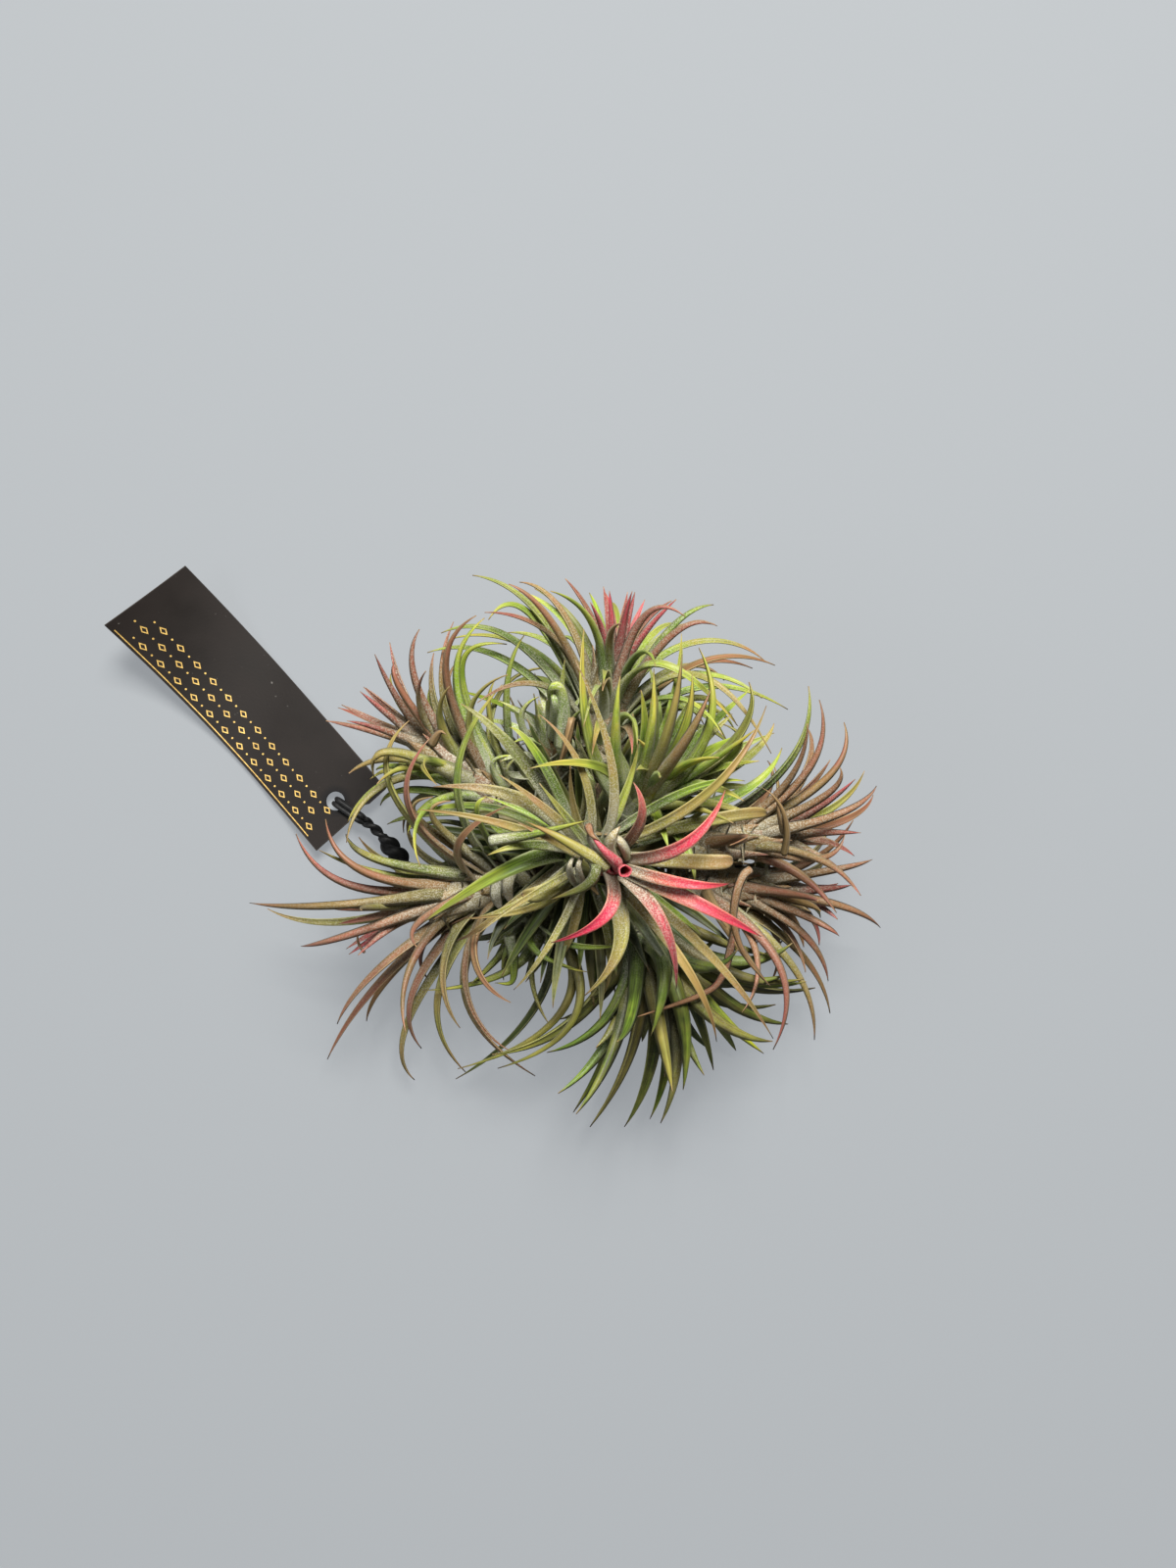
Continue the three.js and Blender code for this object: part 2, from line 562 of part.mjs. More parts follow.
const crownCentre = point(CROWN.centre);
const tagAxes = axesOf(TAG.azimuth, 0);
const tagAcross = new THREE.Vector3().crossVectors(UP, tagAxes.axis);
const tagMiddle = new THREE.Vector3(...TAG.near, 0).addScaledVector(tagAxes.axis, TAG.length / 2);
const cordRoute = [...CORD_INNER, KNOT.at, ...CORD_OUTER].map(point);

// The card bows: its lowest line lies on the surface, and both ends rise.
const tagBow = (along) => TAG.bow - Math.sqrt(TAG.bow ** 2 - (along - TAG.lowest) ** 2);

function tagRise(along, across) {
  const slant = radians(TAG_CURL.slant);
  const past = (along - TAG_CURL.from) * Math.cos(slant) + (across + TAG.width / 2) * Math.sin(slant);
  return tagBow(along) + Math.max(0, past) ** 2 / (2 * TAG_CURL.radius);
}

// The string can be seen from its knot to the card: as the eye sees them, no blade crosses that stretch.
const cordShown = cordRoute.slice(-4).map(toSheet);
const overCord = (at) => cordShown.some((seen) => seen.distanceTo(toSheet(at)) < CORD.room);

function overTag(at) {
  const fromMiddle = at.clone().sub(tagMiddle);
  const past = Math.abs(fromMiddle.dot(tagAxes.axis)) - TAG.length / 2;
  const aside = Math.abs(fromMiddle.dot(tagAcross)) - TAG.width / 2;
  return Math.max(past, aside) < TAG_ROOM.aside;
}

// The necks of the heads with hearts, as lines on the floor, with how high and how thick each neck is.
const bareNecks = HEADS.filter((head) => head.blushed > 0).map((head) => {
  const { foot, heart } = framesOf(head);
  const from = foot.origin.clone().lerp(heart.origin, BARE_FROM);
  const line = new THREE.Line3(from.clone().setZ(0), heart.origin.clone().setZ(0));
  return { own: [`${head.name}_head`, `${head.name}_heart`], line, height: from.z, girth: head.girth };
});

function overNeck(node, at) {
  const shadow = at.clone().setZ(0);
  return bareNecks.some((neck) => {
    if (neck.own.includes(node) || at.z < neck.height) return false;
    return neck.line.closestPointToPoint(shadow, true, new THREE.Vector3()).distanceTo(shadow) < neck.girth;
  });
}

// True where a blade ends outside the clump's spread, or lies over the card or another head's bare neck.
function strays(node, sections) {
  const tip = sections.at(-1).at;
  const [x, y] = [tip.x - SPREAD.centre[0], tip.y - SPREAD.centre[1]];
  if (Math.hypot(x / SPREAD.reach[0], y / SPREAD.reach[1]) > 1) return true;
  return sections.some((section) => overTag(section.at) || overNeck(node, section.at));
}

// Boxes round a chain of bars.
const chainBoxes = (points, radius) => points.slice(1).map((to, i) => barBox(points[i], to, radius));

function rootPath(root) {
  const random = seeded(root.seed);
  const at = new THREE.Vector3(0, 1, root.from);
  const path = [at.clone()];
  let [azimuth, rise] = [root.azimuth, root.rise];
  for (let i = 0; i < ROOT.steps; i++) {
    at.addScaledVector(axesOf(azimuth, rise).axis, root.length / ROOT.steps);
    at.z = Math.max(at.z, ROOT.radius + FLOOR_GAP);
    path.push(at.clone());
    azimuth += ROOT.wander * (random() - 0.5);
    rise += ROOT.wander * (random() - 0.5);
  }
  return path;
}

// The crown, necks, hearts, cord and card take their places before any blade grows.
function placeFixed() {
  const foot = new THREE.Vector3();
  place("crown", [barBox(foot, crownCentre, STUMP.topRadius)]);
  place("crown", [barBox(foot, new THREE.Vector3(0, 0, STUMP.footHeight), STUMP.footRadius)]);
  for (const root of ROOTS) place("crown", chainBoxes(rootPath(root), ROOT.radius + ROOT.room));
  for (const head of HEADS) placeNeck(head);
  place("cord", chainBoxes(cordRoute, CORD.diameter / 2 + SEAT_GAP));
  place("cord", [barBox(point(CORD_INNER.at(-1)), point(CORD_OUTER[0]), KNOT.radius)]);
  const { aside, above } = TAG_ROOM;
  const extent = [TAG.length / 2 + aside, TAG.width / 2 + aside, tagBow(0) + above];
  const axes = [tagAxes.axis, tagAcross, UP];
  place("tag", [{ centre: tagMiddle, axes, extent, radius: Math.hypot(...extent) }]);
}

// A neck is two bars, a thin one at its root and its full girth above, and a heart is one.
function placeNeck(head) {
  const { foot, heart } = framesOf(head);
  const upNeck = (share) => foot.origin.clone().addScaledVector(foot.axis, share * head.neck);
  place("crown", [barBox(crownCentre, foot.origin, STOLON.radius)]);
  place(`${head.name}_head`, [
    barBox(foot.origin, upNeck(NECK_SPLIT), neckRadius(head, NECK_SPLIT)),
    barBox(upNeck(NECK_SPLIT), upNeck(1), head.girth),
  ]);
  const tip = heart.origin.clone().addScaledVector(heart.axis, HEART.height);
  if (hasHeart(head)) place(`${head.name}_heart`, [barBox(heart.origin, tip, HEART.radius)]);
}

// ---------------------------------------------------------------- the blades of each head

// The outer spiral's k-th blade. Older blades sit lower, lean further out and curl back more.
function outerSpec(head, k, random) {
  const t = (k + 0.5) / head.leaves;
  const height = head.neck * (OUTER.from - OUTER.down * t);
  const chance = (spread) => spread * (random() - 0.5);
  return {
    height,
    rootRadius: neckRadius(head, height / head.neck) * BLADE.rootSink,
    turn: head.start + k * GOLDEN_TURN + chance(OUTER.turn),
    lean: mix(...head.lean, t),
    curl: mix(...head.curl, Math.pow(t, OUTER.bendPower)) + chance(OUTER.curl),
    sway: chance(OUTER.sway),
    twist: chance(OUTER.twist),
    length: mix(...head.reach, Math.sqrt(t)) * (1 + chance(OUTER.lengthSpread)),
    width: head.width * (1 + chance(OUTER.widthSpread)),
    form: formOf(head),
  };
}

// The heart's k-th blade. The innermost stand almost straight.
function blushedSpec(head, k, random) {
  const t = (k + 0.5) / head.blushed;
  const share = BLUSHED.from - BLUSHED.down * t;
  const chance = (spread) => spread * (random() - 0.5);
  return {
    height: HEART.height * share,
    rootRadius: heartRadius(share) * BLADE.rootSink,
    turn: head.start + BLUSHED.start + k * GOLDEN_TURN + chance(BLUSHED.turn),
    lean: mix(...BLUSHED.lean, t),
    curl: mix(...BLUSHED.curl, t) + chance(BLUSHED.curlChance),
    sway: chance(BLUSHED.sway),
    twist: chance(BLUSHED.twist),
    length: mix(...BLUSHED.reach, Math.sqrt(t)) * (1 + chance(BLUSHED.lengthSpread)),
    width: HEART.blade,
    form: formOf(head),
  };
}

function setSpec([share, middle, tip, width], head, length, radiusAt) {
  return {
    height: share * length,
    rootRadius: radiusAt(share) * BLADE.rootSink,
    middle: fromSheet(middle),
    tip: fromSheet(tip),
    twist: 0,
    width,
    form: formOf(head),
  };
}

// Hearts grow first, then the set blades, and then every head in turn adds one of its spiral, inside out.
function growAll() {
  const grown = new Map();
  const add = (node, frame, spec) => {
    grown.set(node, [...(grown.get(node) ?? []), ...grow(node, frame, spec)]);
  };
  const heads = HEADS.map((head) => ({ ...head, ...framesOf(head), random: seeded(head.seed) }));
  for (const row of SET_BLADES.front_heart) {
    add("front_heart", heads[0].heart, setSpec(row, heads[0], HEART.height, heartRadius));
  }
  for (const head of heads)
    for (let k = 0; k < head.blushed; k++) {
      add(`${head.name}_heart`, head.heart, blushedSpec(head, k, head.random));
    }
  for (const head of heads)
    for (const row of SET_BLADES[head.name]) {
      const radiusAt = (share) => neckRadius(head, share);
      add(`${head.name}_head`, head.foot, setSpec(row, head, head.neck, radiusAt));
    }
  const most = Math.max(...HEADS.map((head) => head.leaves));
  for (let k = 0; k < most; k++)
    for (const head of heads)
      if (k < head.leaves) add(`${head.name}_head`, head.foot, outerSpec(head, k, head.random));
  return grown;
}

// ---------------------------------------------------------------- solids

// A closed three.js geometry as a manifold-3d solid, with its shared vertices merged.
function solidOf(geometry) {
  const bare = geometry.index ? geometry.toNonIndexed() : geometry.clone();
  for (const name of Object.keys(bare.attributes)) if (name !== "position") bare.deleteAttribute(name);
  const merged = mergeVertices(bare, 1e-3);
  const vertProperties = merged.attributes.position.array;
  const triVerts = new Uint32Array(merged.index.array);
  return new wasm.Manifold(new wasm.Mesh({ numProp: 3, vertProperties, triVerts }));
}

// The mesh of a solid's largest body. A hollow sealed among the blades is filled, and a scrap is dropped.
function geometryOf(solid) {
  const [body] = solid.decompose().sort((a, b) => b.volume() - a.volume());
  const { vertProperties, triVerts } = body.getMesh();
  const geometry = new THREE.BufferGeometry();
  geometry.setAttribute("position", new THREE.BufferAttribute(vertProperties, 3));
  geometry.setIndex(new THREE.BufferAttribute(triVerts, 1));
  geometry.computeVertexNormals();
  return geometry;
}

// A solid of revolution from [radius, height] pairs, stood on an axis at a place.
function turned(profile, sides, origin, axis) {
  const lathe = new THREE.LatheGeometry(profile.map(([r, h]) => new THREE.Vector2(r, h)), sides);
  const stand = new THREE.Quaternion().setFromUnitVectors(new THREE.Vector3(0, 1, 0), axis);
  return solidOf(lathe.applyQuaternion(stand).translate(origin.x, origin.y, origin.z));
}

// A tube of even section along points, capped at both ends.
function tube(points, radius, sides, steps) {
  const rim = Array.from({ length: sides }, (_, i) => {
    const angle = (i / sides) * Math.PI * 2;
    return new THREE.Vector2(radius * Math.cos(angle), radius * Math.sin(angle));
  });
  const extrudePath = new THREE.CatmullRomCurve3(points);
  return solidOf(new THREE.ExtrudeGeometry(new THREE.Shape(rim), { steps, extrudePath }));
}

// A blade: a three-cornered bar, extruded straight and then laid on its sections.
function bladeSolid(kept) {
  const section = new THREE.Shape(BLADE_CORNERS.map(([x, y]) => new THREE.Vector2(x, y)));
  const steps = kept.length - 1;
  const blade = new THREE.ExtrudeGeometry(section, { depth: steps, steps, bevelEnabled: false });
  const corners = blade.attributes.position;
  for (let i = 0; i < corners.count; i++) {
    const { at, side, face, half, deep } = kept[Math.round(corners.getZ(i))];
    const moved = at.clone().addScaledVector(side, corners.getX(i) * half);
    moved.addScaledVector(face, corners.getY(i) * deep);
    corners.setXYZ(i, moved.x, moved.y, moved.z);
  }
  return solidOf(blade);
}

function headSolid(head, blades) {
  const { foot } = framesOf(head);
  const outline = NECK.rings.map((share) => [neckRadius(head, share), share * head.neck]);
  const profile = [[0, 0], ...outline, [0, head.neck]];
  return sum([turned(profile, NECK.sides, foot.origin, foot.axis), ...blades.map(bladeSolid)]);
}

function heartSolid(head, blades) {
  const { heart } = framesOf(head);
  const { radius, tipRadius, height, tubeBore, tubeDepth } = HEART;
  const profile = [[0, 0], [radius, 0], [tipRadius, height], [0, height]];
  const joined = sum([turned(profile, HEART.sides, heart.origin, heart.axis), ...blades.map(bladeSolid)]);
  if (head.name !== "front") return joined;
  const bottom = height - tubeDepth;
  const bore = [[0, bottom], [tubeBore, bottom], [tubeBore, height + 1], [0, height + 1]];
  return joined.subtract(turned(bore, HEART.sides, heart.origin, heart.axis));
}

// The crown: a dry stump that stands on its flat foot, a woody middle, a stolon to each head, and roots.
function crownSolid() {
  const s = STUMP;
  const foot = [[0, 0], [s.footRadius, 0], [s.footRadius - s.footTaper, s.footHeight]];
  const above = [[s.waistRadius, s.waistHeight], [s.topRadius, s.topHeight], [0, s.topHeight]];
  const stump = turned([...foot, ...above], s.sides, new THREE.Vector3(), UP);
  const middle = solidOf(new THREE.IcosahedronGeometry(CROWN.radius, 1).translate(...CROWN.centre));
  const stolons = HEADS.map((head) => {
    const { axis, origin } = framesOf(head).foot;
    const end = origin.clone().addScaledVector(axis, -SEAT_GAP);
    const before = end.clone().addScaledVector(axis, -STOLON.bend);
    return tube([crownCentre, before, end], STOLON.radius, STOLON.sides, STOLON.steps);
  });
  const roots = ROOTS.map((root) => tube(rootPath(root), ROOT.radius, ROOT.sides, ROOT.steps));
  return sum([stump, middle, ...stolons, ...roots]);
}

// The card: a bowed strip with square ends, punched near one end for the string.
function tagSolid() {
  const { length, width, thick, stepsAlong, stepsAcross } = TAG;
  const card = new THREE.BoxGeometry(length, width, thick, stepsAlong, stepsAcross, 1);
  const flat = card.translate(length / 2, 0, thick / 2).attributes.position;
  for (let i = 0; i < flat.count; i++) {
    flat.setZ(i, flat.getZ(i) + tagRise(flat.getX(i), flat.getY(i)));
  }
  const { radius, depth, sides, inset } = TAG_HOLE;
  const punch = new THREE.CylinderGeometry(radius, radius, depth, sides).rotateX(Math.PI / 2);
  return solidOf(card).subtract(solidOf(punch.translate(inset, 0, 0)));
}

// The string's loop through the card: two half rings of the strand joined by straight runs.
function racetrack() {
  const { endRadius, halfRun, sides, turns } = TAG_LOOP;
  const ring = new THREE.TorusGeometry(endRadius, STRAND / 2, sides, turns);
  const places = ring.attributes.position;
  for (let i = 0; i < places.count; i++) {
    const x = places.getX(i);
    places.setX(i, x + Math.sign(Math.round(x * 1e3)) * halfRun);
  }
  return ring;
}

function cordPiece(points) {
  const path = points.map(point);
  const length = new THREE.CatmullRomCurve3(path).getLength();
  const steps = Math.max(2, Math.round(length / (CORD.diameter * CORD.stepDiameters)));
  return tube(path, CORD.diameter / 2, CORD.sides, steps);
}

// The knot: a barrel on the cord, a seat gap short of it at each end.
function knotSolid() {
  const [before, after] = [point(CORD_INNER.at(-1)), point(CORD_OUTER[0])];
  const aim = after.clone().sub(before);
  const half = aim.length() / 2 - SEAT_GAP;
  const outline = KNOT.rings.map((x) => [KNOT.radius * (1 - KNOT.endShrink * x * x), x * half]);
  return turned([[0, -half], ...outline, [0, half]], KNOT.sides, before.lerp(after, 0.5), aim.normalize());
}

function tieSolid() {
  const ring = new THREE.TorusGeometry(TIE.ringRadius, STRAND / 2, TIE.sides, TIE.turns);
  return solidOf(ring.translate(0, 0, TIE.height));
}

// ---------------------------------------------------------------- the part

const finishes = {
  green: new THREE.MeshStandardMaterial({ color: 0x6b8240, roughness: 0.6 }),
  olive: new THREE.MeshStandardMaterial({ color: 0x8a8450, roughness: 0.62 }),
  bronze: new THREE.MeshStandardMaterial({ color: 0x9c6454, roughness: 0.6 }),
  crimson: new THREE.MeshStandardMaterial({ color: 0xd0405a, roughness: 0.5 }),
  wood: new THREE.MeshStandardMaterial({ color: 0x5a4634, roughness: 0.9 }),
  card: new THREE.MeshStandardMaterial({ color: 0x2e2624, roughness: 0.45 }),
  string: new THREE.MeshStandardMaterial({ color: 0x0c0c0d, roughness: 0.6 }),
};

function meshOf(name, geometry, finish) {
  const made = new THREE.Mesh(geometry, finishes[finish]);
  made.name = name;
  return made;
}

const clump = new THREE.Group();
placeFixed();
const grown = growAll();

for (const head of HEADS) {
  const isFront = head.name === "front";
  const leafy = headSolid(head, grown.get(`${head.name}_head`));
  clump.add(meshOf(`${head.name}_head`, geometryOf(leafy), isFront ? "olive" : "green"));
  if (!hasHeart(head)) continue;
  const heart = heartSolid(head, grown.get(`${head.name}_heart`));
  clump.add(meshOf(`${head.name}_heart`, geometryOf(heart), isFront ? "crimson" : "bronze"));
}
clump.add(meshOf("crown", geometryOf(crownSolid()), "wood"));

// The tag and its loop share the card's own frame: its near end at the origin, its length along x.
const tagGroup = new THREE.Group();
tagGroup.position.set(TAG.near[0], TAG.near[1], 0);
tagGroup.rotation.z = radians(TAG.azimuth);
tagGroup.add(meshOf("tag", geometryOf(tagSolid()), "card"));
const loopReach = TAG_LOOP.halfRun + TAG_LOOP.endRadius;
const loopSlope = Math.asin((TAG.lowest - TAG_HOLE.inset + loopReach) / TAG.bow);
const loop = racetrack().rotateX(Math.PI / 2).rotateY(loopSlope).translate(-loopReach, 0, 0);
loop.rotateZ(radians(TAG_LOOP.turn));
loop.translate(TAG_HOLE.inset, 0, tagBow(TAG_HOLE.inset - loopReach) + TAG.thick / 2);
tagGroup.add(meshOf("tag_loop", loop, "string"));
clump.add(tagGroup);

clump.add(meshOf("cord_outer", geometryOf(cordPiece(CORD_OUTER)), "string"));
clump.add(meshOf("cord_knot", geometryOf(knotSolid()), "string"));
clump.add(meshOf("cord_inner", geometryOf(cordPiece(CORD_INNER)), "string"));
clump.add(meshOf("tie_ring", geometryOf(tieSolid()), "string"));

export default clump;
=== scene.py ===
# %% [markdown]
# # An air plant clump with a card tag
#
# Air plants of this kind grow as rosettes of stiff, narrow leaves. An old plant branches at its foot until
# ten or more heads share one woody crown, and every head turns its leaves out to the light. The leaves
# drink through a coat of fine silver scales, and flush bronze and crimson when a head is about to flower.
#
# The frame holds the plant's plain solids: three-cornered blades that are fused to each head's neck. This
# script grows the same blades by the same rule, gives each one a fine gutter-shaped leaf, and then dresses
# the crown, the card and the cord. Lengths are in millimetres until a mesh is made.

# %% Load the frame
from collections import namedtuple

import bpy
import numpy as np
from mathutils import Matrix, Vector


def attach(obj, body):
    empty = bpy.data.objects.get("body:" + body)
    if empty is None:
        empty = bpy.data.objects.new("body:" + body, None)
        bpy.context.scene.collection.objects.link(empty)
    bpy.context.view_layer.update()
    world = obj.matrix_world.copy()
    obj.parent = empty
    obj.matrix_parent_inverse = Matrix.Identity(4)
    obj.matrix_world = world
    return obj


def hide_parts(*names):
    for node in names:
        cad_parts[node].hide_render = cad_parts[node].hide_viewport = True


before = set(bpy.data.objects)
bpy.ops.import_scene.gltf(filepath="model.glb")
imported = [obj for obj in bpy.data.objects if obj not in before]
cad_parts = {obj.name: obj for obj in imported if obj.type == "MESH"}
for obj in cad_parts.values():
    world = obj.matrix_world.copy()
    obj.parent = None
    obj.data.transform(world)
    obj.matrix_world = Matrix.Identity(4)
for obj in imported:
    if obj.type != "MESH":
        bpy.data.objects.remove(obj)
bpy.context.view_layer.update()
MM = 0.001
UP = np.array([0.0, 0.0, 1.0])
TURN = 2 * np.pi

# %% [markdown]
# ## Camera, floor and light
#
# The clump is seen from straight above, at arm's length, so the camera looks down its own axis and needs no
# turn at all. The light is that of a shaded greenhouse: a pale sky all round, and a wide soft panel beyond
# the top head, which leaves the bottom head in shade. Panels give soft shadows, where a sun would cut every
# leaf's outline into the ones below.

# %% Camera, floor and light
EYE = np.array([0.0, 20.6, 430.0])
LENS = 32.9  # on a sensor whose long side is 36 mm
FLOOR_REACH = 3000.0
WORLD_STRENGTH = 0.13
PANELS_AIM = (0, 0, 0.03)  # in metres, as the panels' own places are
PANELS = {
    "top_panel": dict(place=(0.12, 0.62, 1.0), size=0.42, watts=38.0, colour=(1.0, 0.985, 0.94)),
    "side_panel": dict(place=(-0.9, -0.1, 0.8), size=0.5, watts=3.5, colour=(0.95, 0.98, 1.0)),
}


def linear(red, green, blue):
    """A colour given as screen values from 0 to 255, as the linear values that Blender works with."""
    share = np.array([red, green, blue]) / 255
    curved = np.where(share <= 0.04045, share / 12.92, ((share + 0.055) / 1.055) ** 2.4)
    return (*curved.tolist(), 1.0)


def put_in(name, data):
    """A new object in the scene."""
    thing = bpy.data.objects.new(name, data)
    bpy.context.scene.collection.objects.link(thing)
    return thing


def add_camera():
    """A camera without a turn looks straight down, with +Y up in its picture."""
    lens = bpy.data.cameras.new("camera")
    lens.lens = LENS
    lens.clip_start = 0.01
    camera = put_in("camera", lens)
    camera.location = EYE * MM
    bpy.context.scene.camera = camera


def add_panel(name, place, size, watts, colour):
    """A square soft panel at a place in metres, turned to face the clump."""
    light = bpy.data.lights.new(name, "AREA")
    light.size = size
    light.energy = watts
    light.color = colour
    panel = put_in(name, light)
    panel.location = place
    panel.rotation_euler = (Vector(PANELS_AIM) - Vector(place)).to_track_quat("-Z", "Y").to_euler()


def add_sky():
    """An even pale sky, which fills the shadows from every side."""
    world = bpy.data.worlds.new("sky")
    world.use_nodes = True
    sky = world.node_tree.nodes["Background"]
    sky.inputs["Color"].default_value = linear(226, 228, 228)
    sky.inputs["Strength"].default_value = WORLD_STRENGTH
    bpy.context.scene.world = world


add_camera()
add_sky()
for name, panel in PANELS.items():
    add_panel(name, **panel)
bpy.context.scene.view_settings.view_transform = "Standard"
print("The eye is", EYE[2], "mm above the floor, and", len(PANELS), "panels light the clump")

# %% [markdown]
# ## Surfaces from arrays
#
# A leaf, a cord and a neck are all the same kind of surface: a ring of points that travels along a line. The
# whole grid of points can be worked out at once with numpy, and the faces follow from the grid's own
# numbering. A modelling tool would pull each one out by hand, but here hundreds of leaves share a few lines.

# %% Helpers for surfaces
CURVE_STEPS = 24  # places on a curve from one of its points to the next


def unit(vectors):
    """Vectors of length one, in the same directions."""
    return vectors / np.linalg.norm(vectors, axis=-1, keepdims=True)


def dot(a, b):
    """The dot product along the last axis, kept as a column."""
    return np.sum(a * b, axis=-1, keepdims=True)


def loft_faces(rings, around, capped=True):
    """Quads between neighbours round each ring and from ring to ring, and one face to close each end."""
    ring, place = np.meshgrid(np.arange(rings - 1), np.arange(around), indexing="ij")
    here = ring * around + place
    beside = ring * around + (place + 1) % around
    faces = [np.stack([here, here + around, beside + around, beside], axis=-1).reshape(-1, 4)]
    if capped:
        first = np.arange(around)
        faces += [first[None], first[None, ::-1] + (rings - 1) * around]
    return faces


def tube_points(path, radius, around, reference=UP):
    """A ring round each point of a path, square to it: cos a times the path's side and sin a times its face,
    with a from 0 to a whole turn."""
    along = unit(np.gradient(path, axis=0))
    side = unit(np.cross(along, reference))
    face = np.cross(side, along)
    angle = TURN * np.arange(around) / around
    spokes = np.cos(angle)[:, None] * side[:, None] + np.sin(angle)[:, None] * face[:, None]
    return path[:, None] + spokes * np.broadcast_to(radius, (len(path), around))[..., None]


def gone_along(path):
    """How far along a path each of its points lies."""
    return np.concatenate([[0], np.cumsum(np.linalg.norm(np.diff(path, axis=0), axis=1))])


def smooth_path(points, spacing):
    """A Catmull-Rom curve through the points, and places on it that are an even spacing apart."""
    p = np.array(points, float)
    p = np.vstack([2 * p[0] - p[1], p, 2 * p[-1] - p[-2]])
    t = np.linspace(0, 1, CURVE_STEPS, endpoint=False)[:, None]
    a, b, c, d = (p[i : len(p) - 3 + i][:, None] for i in range(4))
    curve = 0.5 * (2 * b + (c - a) * t + (2 * a - 5 * b + 4 * c - d) * t**2 + (3 * b - a - 3 * c + d) * t**3)
    curve = np.vstack([curve.reshape(-1, 3), p[-2]])
    gone = gone_along(curve)
    even = np.linspace(0, gone[-1], max(3, round(gone[-1] / spacing) + 1))
    return np.stack([np.interp(even, gone, curve[:, i]) for i in range(3)], axis=1)


def length_of(path):
    """The sum of a path's steps."""
    return np.linalg.norm(np.diff(path, axis=0), axis=1).sum()


class Shape:
    """Collects closed surfaces, and the values that their points carry, until they become one mesh."""

    def __init__(self):
        """Nothing is in it yet."""
        self.points, self.faces, self.values, self.count = [], [], {}, 0

    def add(self, points, faces, **values):
        """Adds one surface. A value may be one number or a grid that fits the points."""
        grid = points.shape[:-1]
        self.points.append(points.reshape(-1, 3))
        self.faces += [face + self.count for face in faces]
        self.count += points.size // 3
        for name, value in values.items():
            value = np.asarray(value, float)
            width = 3 if value.shape[-1:] == (3,) and value.ndim == len(grid) + 1 else 1
            full = np.broadcast_to(value, (*grid, 3) if width == 3 else grid)
            self.values.setdefault(name, []).append(full.reshape(-1, width))

    def made(self, name, finish, slot=None, nodes=(), smooth=True, sharp_from=None):
        """The piece itself, in metres, with its finish. It rides on the clump, which has one body, and takes
        the place of the given nodes of the frame."""
        points = np.concatenate(self.points)
        corners = np.concatenate([face.ravel() for face in self.faces])
        sizes = np.concatenate([np.full(len(face), face.shape[1]) for face in self.faces])
        mesh = bpy.data.meshes.new(name)
        mesh.vertices.add(len(points))
        mesh.vertices.foreach_set("co", (points * MM).ravel())
        mesh.loops.add(len(corners))
        mesh.loops.foreach_set("vertex_index", corners.astype(np.int32))
        mesh.polygons.add(len(sizes))
        mesh.polygons.foreach_set("loop_start", np.concatenate([[0], np.cumsum(sizes)[:-1]]).astype(np.int32))
        mesh.update(calc_edges=True)
        mesh.polygons.foreach_set("use_smooth", np.full(len(sizes), smooth))
        for value_name, parts in self.values.items():
            values = np.concatenate(parts)
            kind, key = ("FLOAT_VECTOR", "vector") if values.shape[1] == 3 else ("FLOAT", "value")
            mesh.attributes.new(value_name, kind, "POINT").data.foreach_set(key, values.ravel())
        if sharp_from:
            mesh.set_sharp_from_angle(angle=np.radians(sharp_from))
        mesh.materials.append(finish)
        piece = put_in(name, mesh)
        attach(piece, "root")
        if nodes:
            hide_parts(*nodes)
        print(f"{name}: {len(points)} points, {int((sizes - 2).sum())} triangles")
        return piece


# %% [markdown]
# ## Finishes from nodes
#
# Every finish is a small network of nodes. Writing one out takes three calls for each node: make it, set it,
# link it. One helper does all three, so that the lines below read as the finish's own recipe. Cloudy noise
# seldom strays far from a half, so the finishes read it between two values that hold most of it.

# %% Helpers for finishes
MOST_NOISE = (0.3, 0.7)


def new_finish(name):
    """A new material, its node tree and its shader."""
    finish = bpy.data.materials.new(name)
    finish.use_nodes = True
    return finish, finish.node_tree, finish.node_tree.nodes["Principled BSDF"]


def fill_in(tree, node, inputs):
    """Gives a node its inputs. One that is given another node's output is linked to it."""
    for key, value in inputs.items():
        if isinstance(value, bpy.types.NodeSocket):
            tree.links.new(value, node.inputs[key])
        else:
            node.inputs[key].default_value = value


def add_node(tree, kind, inputs=(), **settings):
    """A node with its settings and its inputs."""
    node = tree.nodes.new(f"ShaderNode{kind}")
    for key, value in settings.items():
        setattr(node, key, value)
    fill_in(tree, node, dict(inputs))
    return node


def carried(tree, name, output="Fac"):
    """A value that the mesh's points carry."""
    return add_node(tree, "Attribute", attribute_name=name).outputs[output]


def noise(tree, vector, scale, detail, rough=0.5):
    """Cloudy noise between 0 and 1."""
    inputs = {"Vector": vector, "Scale": scale, "Detail": detail, "Roughness": rough}
    return add_node(tree, "TexNoise", inputs).outputs["Fac"]


def stretched(tree, vector, scale):
    """The same place on a ruler that is stretched by the given scale."""
    return add_node(tree, "Mapping", {"Vector": vector, "Scale": scale}).outputs["Vector"]


def calc(tree, operation, a, b, clamp=False):
    """One sum on two numbers."""
    return add_node(tree, "Math", {0: a, 1: b}, operation=operation, use_clamp=clamp).outputs["Value"]


def spread(tree, value, low, high, to_low=0.0, to_high=1.0):
    """A value that runs from low to high, moved to run from to_low to to_high, and held there."""
    inputs = {"Value": value, "From Min": low, "From Max": high, "To Min": to_low, "To Max": to_high}
    return add_node(tree, "MapRange", inputs).outputs["Result"]


